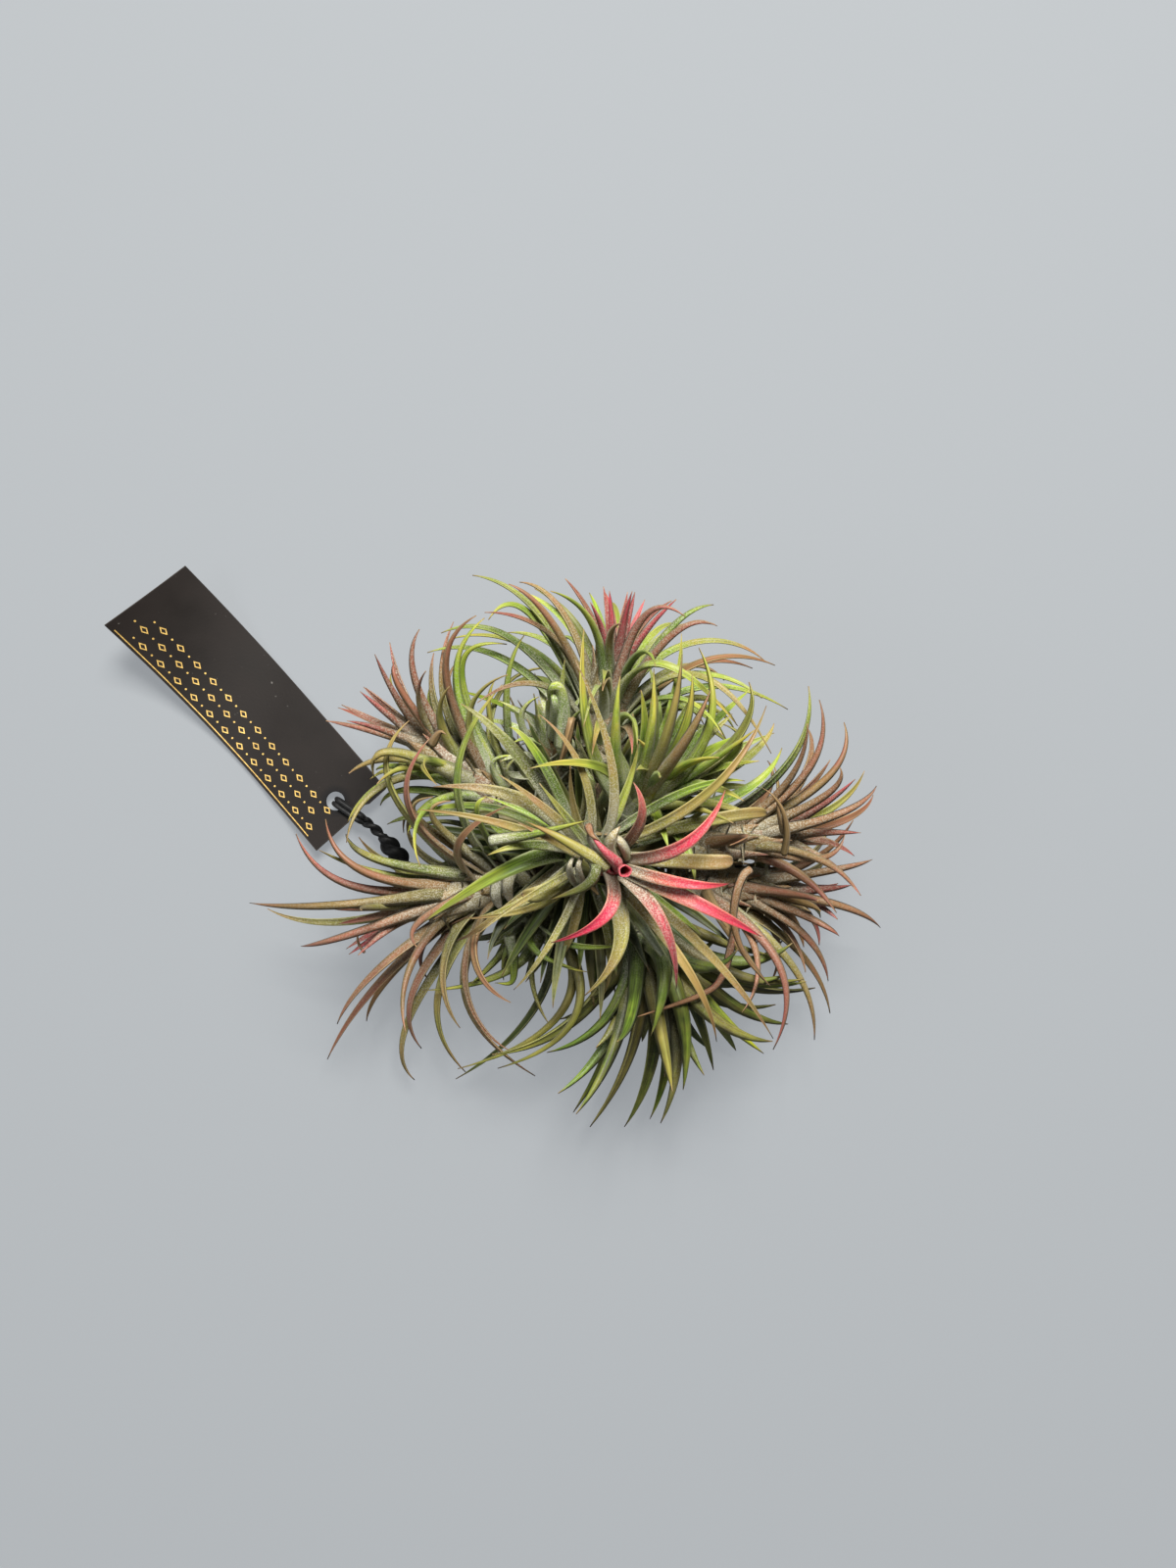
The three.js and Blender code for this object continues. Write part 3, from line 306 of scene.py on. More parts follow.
def swayed(tree, value, cloudy, size, clamp=False):
    """A value that noise moves up and down by up to the given size."""
    return calc(tree, "ADD", value, spread(tree, cloudy, *MOST_NOISE, -size, size), clamp)


def blended(tree, factor, a, b, mode="MIX"):
    """Two colours mixed, or put together in another mode."""
    return add_node(tree, "Mix", {0: factor, 6: a, 7: b}, data_type="RGBA", blend_type=mode).outputs[2]


def ramp(tree, value, stops):
    """Colours along a value: each stop is a place from 0 to 1 and a colour."""
    node = add_node(tree, "ValToRGB", {"Fac": value})
    band = node.color_ramp
    while len(band.elements) < len(stops):
        band.elements.new(0.5)
    for element, (place, colour) in zip(band.elements, stops):
        element.position = place
        element.color = colour
    return node.outputs["Color"]


def here_on(tree):
    """The place on the object, in metres."""
    return add_node(tree, "TexCoord").outputs["Object"]


def bumped(tree, shader, height, distance_mm, strength):
    """Lets a height tilt the light, as fine relief does."""
    inputs = {"Height": height, "Distance": distance_mm * MM, "Strength": strength}
    fill_in(tree, shader, {"Normal": add_node(tree, "Bump", inputs).outputs["Normal"]})


# %% [markdown]
# ## The floor
#
# The clump rests on a plain pale surface. A large flat square does, with an even, dull finish, so that
# nothing in the picture competes with the leaves.


# %% The floor
def add_floor():
    """A square that lies just under the stump's flat foot. It glows for the camera alone, as backlit cloth
    would, so that it looks pale and even without throwing light up into the leaves."""
    finish, tree, shader = new_finish("floor")
    fill_in(tree, shader, {
        "Base Color": linear(84, 86, 88), "Roughness": 0.9, "Specular IOR Level": 0.1,
        "Emission Color": linear(145, 149, 153),
        "Emission Strength": add_node(tree, "LightPath").outputs["Is Camera Ray"],
    })
    mesh = bpy.data.meshes.new("floor")
    reach = FLOOR_REACH * MM
    corners = [(-reach, -reach, 0), (reach, -reach, 0), (reach, reach, 0), (-reach, reach, 0)]
    mesh.from_pydata(corners, [], [(0, 1, 2, 3)])
    mesh.materials.append(finish)
    put_in("floor", mesh)


add_floor()
print("The floor reaches", FLOOR_REACH, "mm each way")

# %% [markdown]
# ## The cord
#
# A black string of two twisted strands ties the card to the plant. It leaves a ring round the stump, runs
# out under the leaves, swells where it is knotted, and ends at the card's hole, where its two strands part
# and pass through side by side. A strand is a tube whose middle line winds round the cord's own route, so
# the twist is real geometry. A plain tube with a striped bump would give itself away at its outline.

# %% The cord's finish and route
CORD_DIAMETER = 3.2
CORD_INNER = [
    [-9.7, 0, 14], [-12, -0.3, 13.3], [-18, -1.8, 9.6], [-28, -6, 5.4],
    [-38, -9, 4.4], [-46.5, -9, 4.9], [-51.6, -6.6, 5.7], [-53.2, -4.6, 5.8],
]
KNOT_AT = [-57, 0.2, 6.1]
CORD_OUTER = [[-60.9, 5, 6], [-63, 7.2, 5.7], [-65.8, 9.4, 5.3]]
CORD_STEP = 0.35  # mm from one place on the cord's route to the next
STRANDS, STRAND_AROUND = 2, 14
PLIES = {"count": 3, "ridge": 0.07, "apart": 3.9}


def string_finish():
    """Black waxed string: nearly no colour, a dull shine, and a little dust on the plies' crests."""
    finish, tree, shader = new_finish("black_string")
    fluff = noise(tree, here_on(tree), 900.0, 3.0)
    fill_in(tree, shader, {
        "Base Color": ramp(tree, fluff, [(0.35, linear(7, 7, 8)), (0.8, linear(26, 26, 28))]),
        "Roughness": spread(tree, fluff, *MOST_NOISE, 0.42, 0.7),
        "Specular IOR Level": 0.25, "Sheen Weight": 0.05,
    })
    bumped(tree, shader, fluff, 0.08, 0.5)
    return finish


def strand_points(route, orbit, radius, phase, pitch):
    """A strand winds round the route at the orbit's radius, one turn in each pitch. Its own plies ridge it:
    the radius swells with the cosine of three times the ring's angle plus a turn for each ply that is
    passed on the way along the route."""
    gone = gone_along(route)
    along = unit(np.gradient(route, axis=0))
    side = unit(np.cross(along, UP))
    face = np.cross(side, along)
    turn = (TURN * gone / pitch + phase)[:, None]
    middle = route + np.reshape(orbit, (-1, 1)) * (np.cos(turn) * side + np.sin(turn) * face)
    ring = TURN * np.arange(STRAND_AROUND) / STRAND_AROUND
    swells = np.cos(PLIES["count"] * ring[None] + TURN * gone[:, None] / PLIES["apart"])
    return tube_points(middle, np.reshape(radius, (-1, 1)) * (1 + PLIES["ridge"] * swells), STRAND_AROUND)


def twisted(shape, route, orbit, radius, pitch):
    """Adds evenly spaced strands that wind round one route."""
    for phase in TURN * np.arange(STRANDS) / STRANDS:
        points = strand_points(route, orbit, radius, phase, pitch)
        shape.add(points, loft_faces(len(points), STRAND_AROUND))


black_string = string_finish()
cord_route = smooth_path([*CORD_INNER, KNOT_AT, *CORD_OUTER], CORD_STEP)
print("The cord is", round(length_of(cord_route), 1), "mm long")

# %% Cord, knot and tie
# Each twist: how far its strands' middles orbit from the route, a strand's radius, and the mm for one turn.
CORD = {"orbit": 0.78, "radius": 0.8, "pitch": 7.5}
KNOT = {"orbit": 1.5, "radius": 1.62, "pitch": 9.0, "step": 0.25, "least": 0.55, "bulge": 0.8}
TIE = {"orbit": 0.42, "radius": 0.44, "turns": 9, "height": 14, "ring": 8.5, "steps": 160}


def swelling(count):
    """A share that swells from the knot's least at both ends to 1 in the middle, as a power of half a sine
    wave does."""
    return KNOT["least"] + (1 - KNOT["least"]) * np.sin(np.linspace(0, np.pi, count)) ** KNOT["bulge"]


def make_cord():
    """The whole run from the tie to the card, which the knot and the loop then cover at their places. Its
    last millimetre is sunk in the loop's bend."""
    shape = Shape()
    onward = CORD_STEP * np.arange(1, 4)[:, None]
    sunk = cord_route[-1] + unit(cord_route[-1] - cord_route[-2]) * onward
    twisted(shape, np.concatenate([cord_route, sunk]), CORD["orbit"], CORD["radius"], CORD["pitch"])
    return shape.made("cord", black_string, "black_cord", ["cord_inner", "cord_outer"])


def make_knot():
    """The knot is the same two strands, doubled back and pulled tight, which reads as one fat short twist."""
    shape = Shape()
    route = smooth_path([CORD_INNER[-1], KNOT_AT, CORD_OUTER[0]], KNOT["step"])
    swell = swelling(len(route))
    twisted(shape, route, KNOT["orbit"] * swell, KNOT["radius"] * swell, KNOT["pitch"])
    return shape.made("cord_knot_twist", black_string, "black_cord", ["cord_knot"])


def make_tie():
    """A ring of the twisted string round the stump, closed on itself."""
    shape = Shape()
    angle = np.linspace(0, TURN, TIE["steps"] + 1)
    ring = np.stack([np.cos(angle), np.sin(angle), 0 * angle], axis=1) * TIE["ring"]
    pitch = TURN * TIE["ring"] / TIE["turns"]
    twisted(shape, ring + UP * TIE["height"], TIE["orbit"], TIE["radius"], pitch)
    return shape.made("tie", black_string, "black_cord", ["tie_ring"])


CARD = {"near": np.array([-70.1, 10.0]), "azimuth": 131.7, "length": 87.5, "width": 27.7, "thick": 0.7}
BOW = {"radius": 300.0, "lowest": 55.0}
CURL = {"from": 45.0, "slant": 35.0, "radius": 75.0}
HOLE = {"inset": 7.4, "radius": 2.8}
LOOP = {"end_radius": 1.6, "half_run": 3.35, "turn": 14.7, "apart": 0.78, "strand": 0.74, "around": 12,
        "steps": 72, "haste": 4}  # haste: how fast the straight runs are passed


def card_bow(x):
    """The card bows on a wide circle: its lowest line lies on the surface, and both its ends rise."""
    return BOW["radius"] - np.sqrt(BOW["radius"] ** 2 - (x - BOW["lowest"]) ** 2)


def card_rise(x, y):
    """The bow, and beyond a slanting line the far corner curls up too, as s² / 2r, with s how far past
    the line."""
    slant = np.radians(CURL["slant"])
    past = (x - CURL["from"]) * np.cos(slant) + (y + CARD["width"] / 2) * np.sin(slant)
    return card_bow(x) + np.maximum(0, past) ** 2 / (2 * CURL["radius"])


def card_to_clump(points):
    """Turns the card's own x and y into the clump's, and moves its near end to its place."""
    a = np.radians(CARD["azimuth"])
    x, y, z = points[..., 0], points[..., 1], points[..., 2]
    east = CARD["near"][0] + x * np.cos(a) - y * np.sin(a)
    north = CARD["near"][1] + x * np.sin(a) + y * np.cos(a)
    return np.stack([east, north, z], axis=-1)


def make_loop():
    """Two strands pass side by side through the hole and round the card's end: each is a racetrack, two
    half circles joined by straight runs, which leans with the card's slope and turns to meet the cord."""
    shape = Shape()
    reach = LOOP["half_run"] + LOOP["end_radius"]
    angle = np.linspace(0, TURN, LOOP["steps"] + 1)
    run = LOOP["half_run"] * np.clip(LOOP["haste"] * np.cos(angle), -1, 1)
    x = LOOP["end_radius"] * np.cos(angle) + run
    z = LOOP["end_radius"] * np.sin(angle)
    slope = -(BOW["lowest"] - HOLE["inset"] + reach) / BOW["radius"]
    height = card_bow(HOLE["inset"] - reach) + CARD["thick"] / 2 + z + x * slope
    c, s = np.cos(np.radians(LOOP["turn"])), np.sin(np.radians(LOOP["turn"]))
    for offset in (-LOOP["apart"], LOOP["apart"]):
        on_card_x = HOLE["inset"] + (x - reach) * c - offset * s
        on_card_y = (x - reach) * s + offset * c
        route = card_to_clump(np.stack([on_card_x, on_card_y, height], axis=1))
        across = card_to_clump(np.array([-s, c, 0])) - card_to_clump(np.zeros(3))
        points = tube_points(route, LOOP["strand"], LOOP["around"], reference=across)
        shape.add(points, loft_faces(len(points), LOOP["around"]))
    return shape.made("card_loop", black_string, "black_cord", ["tag_loop"])


cord = make_cord()
make_knot()
make_tie()
make_loop()

# %% [markdown]
# ## How a head is laid out
#
# Ten heads leave the crown, each on a short stolon. A head is a neck, which the leaves clasp with their
# sheaths, and most heads carry a heart of young leaves on its end. A table holds what differs between the
# heads, and everything else is worked out. The alternative, to place each leaf's root by eye, takes longer
# and never quite sits on the neck.

# %% The heads
SEAT_GAP = 0.3
GOLDEN_TURN = 137.508  # degrees from one leaf to the next on a spiral
NECK = {"root_radius": 3.2, "full_by": 0.34, "top_share": 0.86}
HEART = {"radius": 4.0, "tip_radius": 2.4, "height": 7.0, "tube_bore": 1.5, "tube_depth": 4.0, "width": 3.9}

# root: where the neck leaves the crown. azimuth and rise: where it aims. neck: its length. leaves and young:
# how many the outer and the inner spiral have. reach, lean, curl: from the innermost leaf to the outermost.
# tones: the spiral's leaves take them in turn. neck_tone and young_tone: for the bracts and the young leaves.
HEAD_COLUMNS = ("name", "root", "azimuth", "rise", "neck", "girth", "start", "leaves", "young", "reach",
                "lean", "curl", "width", "seed", "tones", "neck_tone", "young_tone")
HEAD_ROWS = [
    # The front head's neck and bracts take a flat dark tone that is painted shade.
    ["front", [-5, 3.5, 45], -16, 64, 21, 6.4, 20, 9, 0, [36, 46],
     [48, 72], [50, 96], 4.4, 11, ["olive", "green", "tan"], "shaded"],
    ["top", [2.4, 22, 37], 81, 19, 29, 6, 0, 20, 11, [38, 52],
     [10, 22], [40, 130], 4.4, 23, ["green", "green", "bronze_tip", "green"], "sheath", "rose"],
    ["upper_left", [-16.5, 12, 33], 145, 13, 33, 5.6, 60, 17, 9, [34, 48],
     [9, 20], [30, 120], 4.4, 37, ["green", "olive", "bronze_tip"], "sheath", "flush"],
    ["left", [-15, -3, 31], 198, 9, 32, 5.8, 110, 10, 5, [38, 52],
     [8, 20], [20, 110], 4.6, 41, ["plum", "bronze", "shade_olive"], "sheath", "flush"],
    ["right_upper", [21, 3, 38], 8, 12, 30, 5.2, 200, 10, 5, [34, 46],
     [8, 20], [24, 100], 4.8, 53, ["bronze", "plum", "bronze"], "sheath", "flush"],
    ["right_lower", [22, -6, 26], -6, 2, 33, 5.4, 250, 10, 5, [34, 46],
     [8, 20], [20, 104], 4.8, 67, ["bronze", "plum", "shade_olive"], "sheath", "flush"],
    # The bottom head's spiral takes the dark tone, which is partly painted shade.
    ["bottom", [14, -13, 31], -82, 2, 13, 6.4, 300, 14, 0, [40, 54], [8, 30], [12, 90], 5.8, 79, ["dark"]],
    ["inner", [8.5, 10.5, 41], 52, 42, 20, 5.4, 30, 13, 0, [30, 46],
     [10, 30], [10, 88], 4.8, 83, ["lime", "green"]],
    ["pup", [-8, 22, 37], 96, 42, 17, 4, 0, 9, 0, [18, 27], [8, 22], [8, 92], 3.8, 97, ["silver"]],
    ["low_pup", [-10, -12, 24], 226, -3, 13, 3.8, 0, 4, 0, [22, 34],
     [12, 26], [30, 96], 4, 101, ["green", "silver"]],
]
HEADS = [dict(zip(HEAD_COLUMNS, row)) for row in HEAD_ROWS]
Frame = namedtuple("Frame", "origin axis up across")
UPRIGHT = Frame(np.zeros(3), UP, np.array([1.0, 0, 0]), np.array([0, 1.0, 0]))


def frame_at(origin, azimuth, rise):
    """A head's axis, the direction square to it that leans to the sky, and the one square to both."""
    a, r = np.radians([azimuth, rise])
    axis = np.array([np.cos(a) * np.cos(r), np.sin(a) * np.cos(r), np.sin(r)])
    up = unit(UP - axis * axis[2])
    return Frame(np.array(origin, float), axis, up, np.cross(axis, up))


def foot_of(head):
    """The frame at the foot of a head's neck."""
    return frame_at(head["root"], head["azimuth"], head["rise"])


def heart_of(head):
    """The same frame, moved up to where the heart sits on the neck."""
    foot = foot_of(head)
    return foot._replace(origin=foot.origin + foot.axis * (head["neck"] + SEAT_GAP))


def neck_radius(head, share):
    """Grows as a quarter of a sine wave to the full girth, and then narrows evenly to the top."""
    share = np.asarray(share, float)
    low = np.sin(np.minimum(share / NECK["full_by"], 1) * np.pi / 2)
    widening = NECK["root_radius"] + (head["girth"] - NECK["root_radius"]) * low
    above = (share - NECK["full_by"]) / (1 - NECK["full_by"])
    return np.where(share < NECK["full_by"], widening, head["girth"] * (1 + (NECK["top_share"] - 1) * above))


def heart_radius(share):
    """A plain cone."""
    return HEART["radius"] + (HEART["tip_radius"] - HEART["radius"]) * share


print(len(HEADS), "heads, with", sum(head["leaves"] + head["young"] for head in HEADS), "leaves on spirals")

# %% [markdown]
# ## The leaves that make the outline
#
# What makes one clump differ from another is where a hundred or so of its leaves go. Each has a row: the
# share of the neck that it grows from, the point it passes at half its length, its tip, its full width and
# its tone, where that isn't plain green. The points are given on a sheet as seen by the eye above, x to the
# right and y down, each with its height over the floor. Rows of real places would do as well, but this way a
# leaf that is moved on the sheet moves in the picture, and its height can be changed without leaving its line
# of sight.

# %% The leaves that are set one by one
SHEET_CENTRE = (600, 800)
SHEET_UNITS = 1462  # sheet units in one unit of slope
SET_BLADES = {
    "front_heart": [
        [0.5, [653, 838, 84], [646, 798, 88], 6.0, "salmon"],
        [0.4, [697, 862, 84], [740, 806, 80], 7.2, "crimson"],
        [0.5, [696, 901, 82], [745, 901, 76], 6.0, "crimson"],
        [0.3, [712, 922, 80], [777, 956, 70], 7.8, "crimson"],
        [0.2, [674, 938, 76], [690, 1010, 62], 6.6, "salmon"],
        [0.5, [619, 932, 80], [562, 962, 72], 7.4, "crimson"],
        [0.6, [624, 876, 80], [613, 860, 84], 4.4, "tube"],
    ],
    "front": [
        [0.8, [634, 952, 76], [604, 1016, 62], 9.0, "tan"],
        [0.6, [714, 964, 68], [789, 1060, 50], 5.4, "tan"],
        [0.7, [697, 980, 70], [733, 1063, 54], 5.2, "tan"],
        [0.7, [708, 879, 72], [748, 878, 72], 6.6, "cut_tan"],
        [0.6, [718, 812, 74], [782, 720, 70], 5.6, "tan"],
        [0.5, [728, 836, 66], [783, 830, 62], 5.4, "cut_olive"],
        [0.9, [585, 828, 80], [586, 783, 86], 4.6, "tan"],
        [0.9, [624, 786, 82], [591, 676, 86], 5.2, "tan"],
        [0.5, [562, 906, 72], [532, 913, 72], 7.0, "cut_olive"],
        [0.4, [556, 920, 66], [474, 937, 60], 5.4, "olive"],
        [0.9, [580, 860, 80], [533, 837, 84], 6.4, "tan"],
        [0.4, [524, 884, 66], [432, 941, 60], 9.0],
        [0.5, [540, 862, 72], [497, 873, 74], 5.0],
        [0.5, [530, 815, 72], [442, 803, 70], 7.6, "olive"],
        [0.4, [530, 772, 70], [470, 718, 72], 7.2],
        [0.6, [695, 809, 72], [760, 797, 70], 5.0],
    ],
    "inner": [
        [0.4, [628, 765, 74], [633, 690, 84], 5.6],
        [0.3, [600, 748, 68], [596, 642, 74], 5.6],
        [0.5, [662, 758, 76], [667, 682, 84], 5.0],
        [0.6, [679, 752, 80], [696, 668, 88], 4.8, "tan"],
        [0.5, [692, 758, 74], [706, 688, 82], 5.0],
        [0.7, [694, 764, 82], [725, 704, 90], 4.6, "tan"],
        [0.6, [722, 748, 72], [713, 661, 72], 4.8],
        [0.5, [748, 758, 68], [764, 696, 72], 4.8],
        [0.4, [750, 782, 62], [790, 738, 60], 5.0],
        [0.3, [750, 812, 56], [798, 763, 52], 5.2],
    ],
    "top": [
        [0.5, [554, 632, 58], [482, 587, 58], 4.4],
        [0.6, [566, 640, 64], [519, 596, 70], 4.2, "bronze"],
        [0.7, [576, 628, 54], [530, 594, 50], 4.2, "bronze"],
        [0.4, [650, 640, 66], [699, 629, 74], 4.2, "bronze"],
        [0.5, [676, 652, 58], [728, 617, 56], 4.4],
        [0.6, [682, 652, 66], [732, 639, 66], 4.2, "bronze"],
        [0.4, [705, 680, 56], [791, 679, 48], 4.4, "bronze"],
        [0.3, [692, 686, 46], [768, 682, 36], 4.4, "bronze"],
        [0.3, [706, 703, 54], [804, 724, 42], 4.4],
        [0.5, [705, 688, 64], [787, 769, 66], 4.2, "olive"],
        [0.2, [700, 714, 46], [752, 740, 40], 4.4],
        [0.2, [700, 742, 40], [747, 764, 36], 4.4],
        [0.5, [545, 628, 60], [500, 632, 64], 4.6],
        [0.4, [528, 656, 54], [450, 646, 54], 4.6],
        [0.3, [520, 676, 48], [436, 666, 46], 4.6],
        [0.2, [533, 720, 42], [474, 705, 40], 4.6],
    ],
    "upper_left": [
        [0.4, [456, 692, 60], [486, 628, 70], 4.4, "bronze"],
        [0.3, [466, 700, 56], [496, 630, 62], 4.6],
        [0.2, [472, 690, 50], [517, 656, 54], 4.6],
        [0.1, [517, 716, 50], [535, 648, 58], 4.4],
        [0.7, [426, 700, 56], [428, 642, 62], 4.4, "bronze"],
        [0.8, [414, 714, 50], [400, 678, 54], 4.0, "bronze"],
        [0.4, [404, 768, 58], [382, 794, 54], 5.0, "olive"],
        [0.3, [420, 786, 46], [384, 786, 38], 4.6],
        [0.2, [425, 806, 40], [388, 822, 34], 4.8],
        [0.1, [445, 830, 34], [395, 842, 26], 5.0],
    ],
    "left": [
        [0.6, [374, 890, 50], [332, 836, 48], 4.8, "bronze"],
        [0.5, [366, 905, 44], [302, 851, 36], 5.0, "bronze"],
        [0.4, [398, 880, 42], [348, 848, 34], 5.2, "shade_olive"],
        [0.7, [350, 928, 40], [248, 922, 28], 4.6, "plum"],
        [0.6, [352, 938, 34], [278, 928, 22], 4.6, "shade_olive"],
        [0.7, [366, 955, 40], [301, 965, 34], 4.4, "bronze"],
        [0.5, [392, 984, 36], [344, 1045, 24], 4.8, "bronze"],
        [0.4, [396, 994, 28], [334, 1081, 12], 5.0, "plum"],
        [0.5, [404, 990, 22], [374, 1042, 10], 4.6, "bronze"],
        [0.4, [425, 1004, 26], [430, 1070, 14], 4.8, "bronze"],
        [0.3, [420, 1034, 18], [423, 1102, 6], 4.8, "shade_olive"],
        [0.3, [448, 1012, 26], [475, 1094, 14], 5.0, "shade_olive"],
        [0.2, [474, 1010, 28], [546, 1098, 16], 5.0, "shade_olive"],
        [0.5, [402, 806, 54], [417, 732, 60], 4.6, "olive"],
        [0.4, [420, 830, 56], [438, 754, 64], 4.6, "bronze"],
        [0.5, [468, 862, 56], [518, 822, 62], 4.6, "bronze"],
    ],
    "right_upper": [
        [0.2, [800, 784, 48], [825, 700, 50], 5.0],
        [0.6, [824, 786, 56], [836, 714, 60], 4.4, "bronze"],
        [0.6, [842, 796, 50], [862, 736, 50], 4.6, "bronze"],
        [0.7, [838, 814, 58], [857, 783, 64], 4.2, "bronze"],
        [0.6, [838, 828, 44], [884, 788, 40], 4.6, "olive"],
        [0.8, [850, 836, 50], [890, 801, 50], 4.2, "bronze"],
        [0.5, [846, 842, 38], [891, 811, 30], 4.6, "bronze"],
        [0.8, [832, 878, 54], [861, 851, 60], 4.0, "bronze"],
    ],
    "right_lower": [
        [0.7, [846, 888, 36], [890, 877, 32], 4.4, "bronze"],
        [0.6, [846, 924, 28], [894, 947, 18], 4.6, "bronze"],
        [0.7, [828, 938, 40], [856, 955, 40], 4.2, "bronze"],
        [0.6, [818, 952, 34], [845, 1001, 28], 4.6, "bronze"],
        [0.4, [812, 968, 24], [847, 1034, 12], 4.8, "bronze"],
        [0.3, [804, 980, 30], [831, 1061, 22], 5.0, "olive"],
        [0.2, [792, 980, 42], [789, 1071, 38], 5.0, "bronze"],
        [0.3, [750, 960, 52], [785, 1006, 48], 4.6, "dry"],
    ],
    "bottom": [
        [0.3, [634, 1035, 34], [585, 1135, 16], 5.8],
        [0.5, [650, 1050, 32], [602, 1150, 16], 5.8],
        [0.6, [668, 1060, 26], [637, 1150, 10], 5.6],
        [0.7, [682, 1055, 22], [663, 1142, 8], 5.2],
        [0.8, [692, 1060, 36], [674, 1146, 24], 5.4],
        [0.7, [678, 990, 54], [664, 1057, 52], 6.0],
        [0.8, [696, 1030, 46], [697, 1112, 36], 6.2],
        [0.6, [706, 1020, 30], [728, 1092, 16], 5.6],
        [0.4, [718, 1015, 44], [781, 1075, 34], 5.6, "dark_lime"],
        [0.4, [736, 1016, 34], [804, 1045, 22], 5.8],
        [0.3, [744, 1000, 26], [832, 1008, 12], 5.8],
        [0.2, [740, 990, 40], [820, 999, 34], 5.4],
        [0.1, [730, 958, 36], [783, 974, 30], 4.6],
        [0.6, [724, 1030, 20], [751, 1072, 6], 5.0],
        [0.2, [625, 1028, 40], [558, 1074, 34], 4.6],
    ],
    "pup": [
        [0.8, [566, 716, 70], [560, 712, 58], 4.6],
        [0.4, [583, 732, 66], [570, 784, 62], 3.2, "dry"],
    ],
    "low_pup": [
        [0.5, [575, 962, 48], [640, 964, 50], 4.6],
        [0.4, [545, 968, 42], [600, 992, 42], 4.6],
        [0.7, [518, 968, 34], [514, 1000, 24], 4.2],
        # These three low leaves take the dark tone as painted shade.
        [0.1, [548, 1025, 22], [465, 1101, 8], 5.2, "dark"],
        [0.2, [572, 1028, 28], [468, 1090, 14], 5.2, "dark"],
        [0.3, [590, 1030, 36], [508, 1090, 22], 5.0, "dark"],
        [0.3, [520, 988, 36], [434, 1011, 24], 5.0],
    ],
}


def from_sheet(x, y, height):
    """Along the eye's line of sight, down to the given height."""
    per_unit = (EYE[2] - height) / SHEET_UNITS
    right, down = x - SHEET_CENTRE[0], y - SHEET_CENTRE[1]
    return np.array([EYE[0] + right * per_unit, EYE[1] - down * per_unit, height])


def to_sheet(at):
    """Where on the sheet the eye sees each real place."""
    scale = SHEET_UNITS / (EYE[2] - at[..., 2:])
    return SHEET_CENTRE + (at[..., :2] - EYE[:2]) * scale * [1, -1]


print(sum(len(rows) for rows in SET_BLADES.values()), "leaves are set one by one")

# %% [markdown]
# ## How a leaf grows
#
# A leaf's course is its middle line, with the directions across it and out of its upper face. The old leaves
# of a head follow a golden-angle spiral and arch back more the further out they sit. Leaves that are set
# follow one smooth bend, a quadratic Bezier curve. Crowded leaves push each other aside, so a leaf that
# would run into another tries a widening spiral of nearby courses until one is clear. Physics could settle
# them too, but it would take minutes and come out a little different every time.

# %% The course of a leaf
STEPS = 24
BLADE = {"keel": 0.4, "thinnest": 0.62, "tip": 0.7, "taper_power": 0.92, "root_width": 0.55,
         "root_sink": 0.55, "hook": 1.15, "face_up": 0.8}
# A leaf's full width is a share of the width that it is listed with, and it tapers as 1 - u^taper. The shaded
# bottom head's keep their width for the longest. The sheath is how far the foot widens, or, below 0, narrows.
FORMS = {
    "front": {"share": 0.6, "taper": 1.9, "sheath": -0.5},
    "inner": {"share": 0.74, "taper": 2.2, "sheath": 0.8},
    "bottom": {"share": 0.86, "taper": 2.5, "sheath": 0.6},
    "others": {"share": 0.62, "taper": 2.4, "sheath": 1.2},
}
Course = namedtuple("Course", "at along side face half deep")
U = (np.arange(STEPS + 1) / STEPS)[:, None]
print("A leaf's course has", len(U), "places, and there are", len(FORMS), "forms of leaf")


def chances(seed):
    """Park and Miller's generator: each state is the last one times 16807, modulo a prime."""
    state = seed * 7919 + 17
    while True:
        state = state * 16807 % 2147483647
        yield state / 2147483647


def form_of(head):
    """The form that a head's leaves have."""
    return FORMS.get(head["name"], FORMS["others"])


def course_on(at, along, across, twist, width, form):
    """Squares the across direction to the line, twists it evenly, and tapers the width as (1 - u^a)^b."""
    side = unit(across - along * dot(across, along))
    angle = np.radians(twist * U)
    side = np.cos(angle) * side + np.sin(angle) * np.cross(along, side)
    full = width * form["share"]
    wide = np.maximum(BLADE["tip"], full * (1 - U ** form["taper"]) ** BLADE["taper_power"])
    wide[0] = full * BLADE["root_width"]
    deep = np.maximum(BLADE["thinnest"], BLADE["keel"] * wide)
    return Course(at, along, side, np.cross(along, side), wide / 2, deep / 2)


def spiral_course(base, spec):
    """The heading leans from the axis by lean + curl·u^hook, and turns about the axis by turn + sway·u²."""
    start = np.radians(spec["turn"])
    at = base.origin + base.axis * spec["height"]
    at = at + spec["root_radius"] * (np.cos(start) * base.up + np.sin(start) * base.across)
    lean = np.radians(spec["lean"] + spec["curl"] * U ** BLADE["hook"])
    turn = np.radians(spec["turn"] + spec["sway"] * U * U)
    out = np.cos(turn) * base.up + np.sin(turn) * base.across
    along = np.cos(lean) * base.axis + np.sin(lean) * out
    steps = along[:-1] * spec["length"] / STEPS
    path = at + np.vstack([np.zeros(3), np.cumsum(steps, axis=0)])
    return course_on(path, along, np.cross(base.axis, out), spec["twist"], spec["width"], spec["form"])


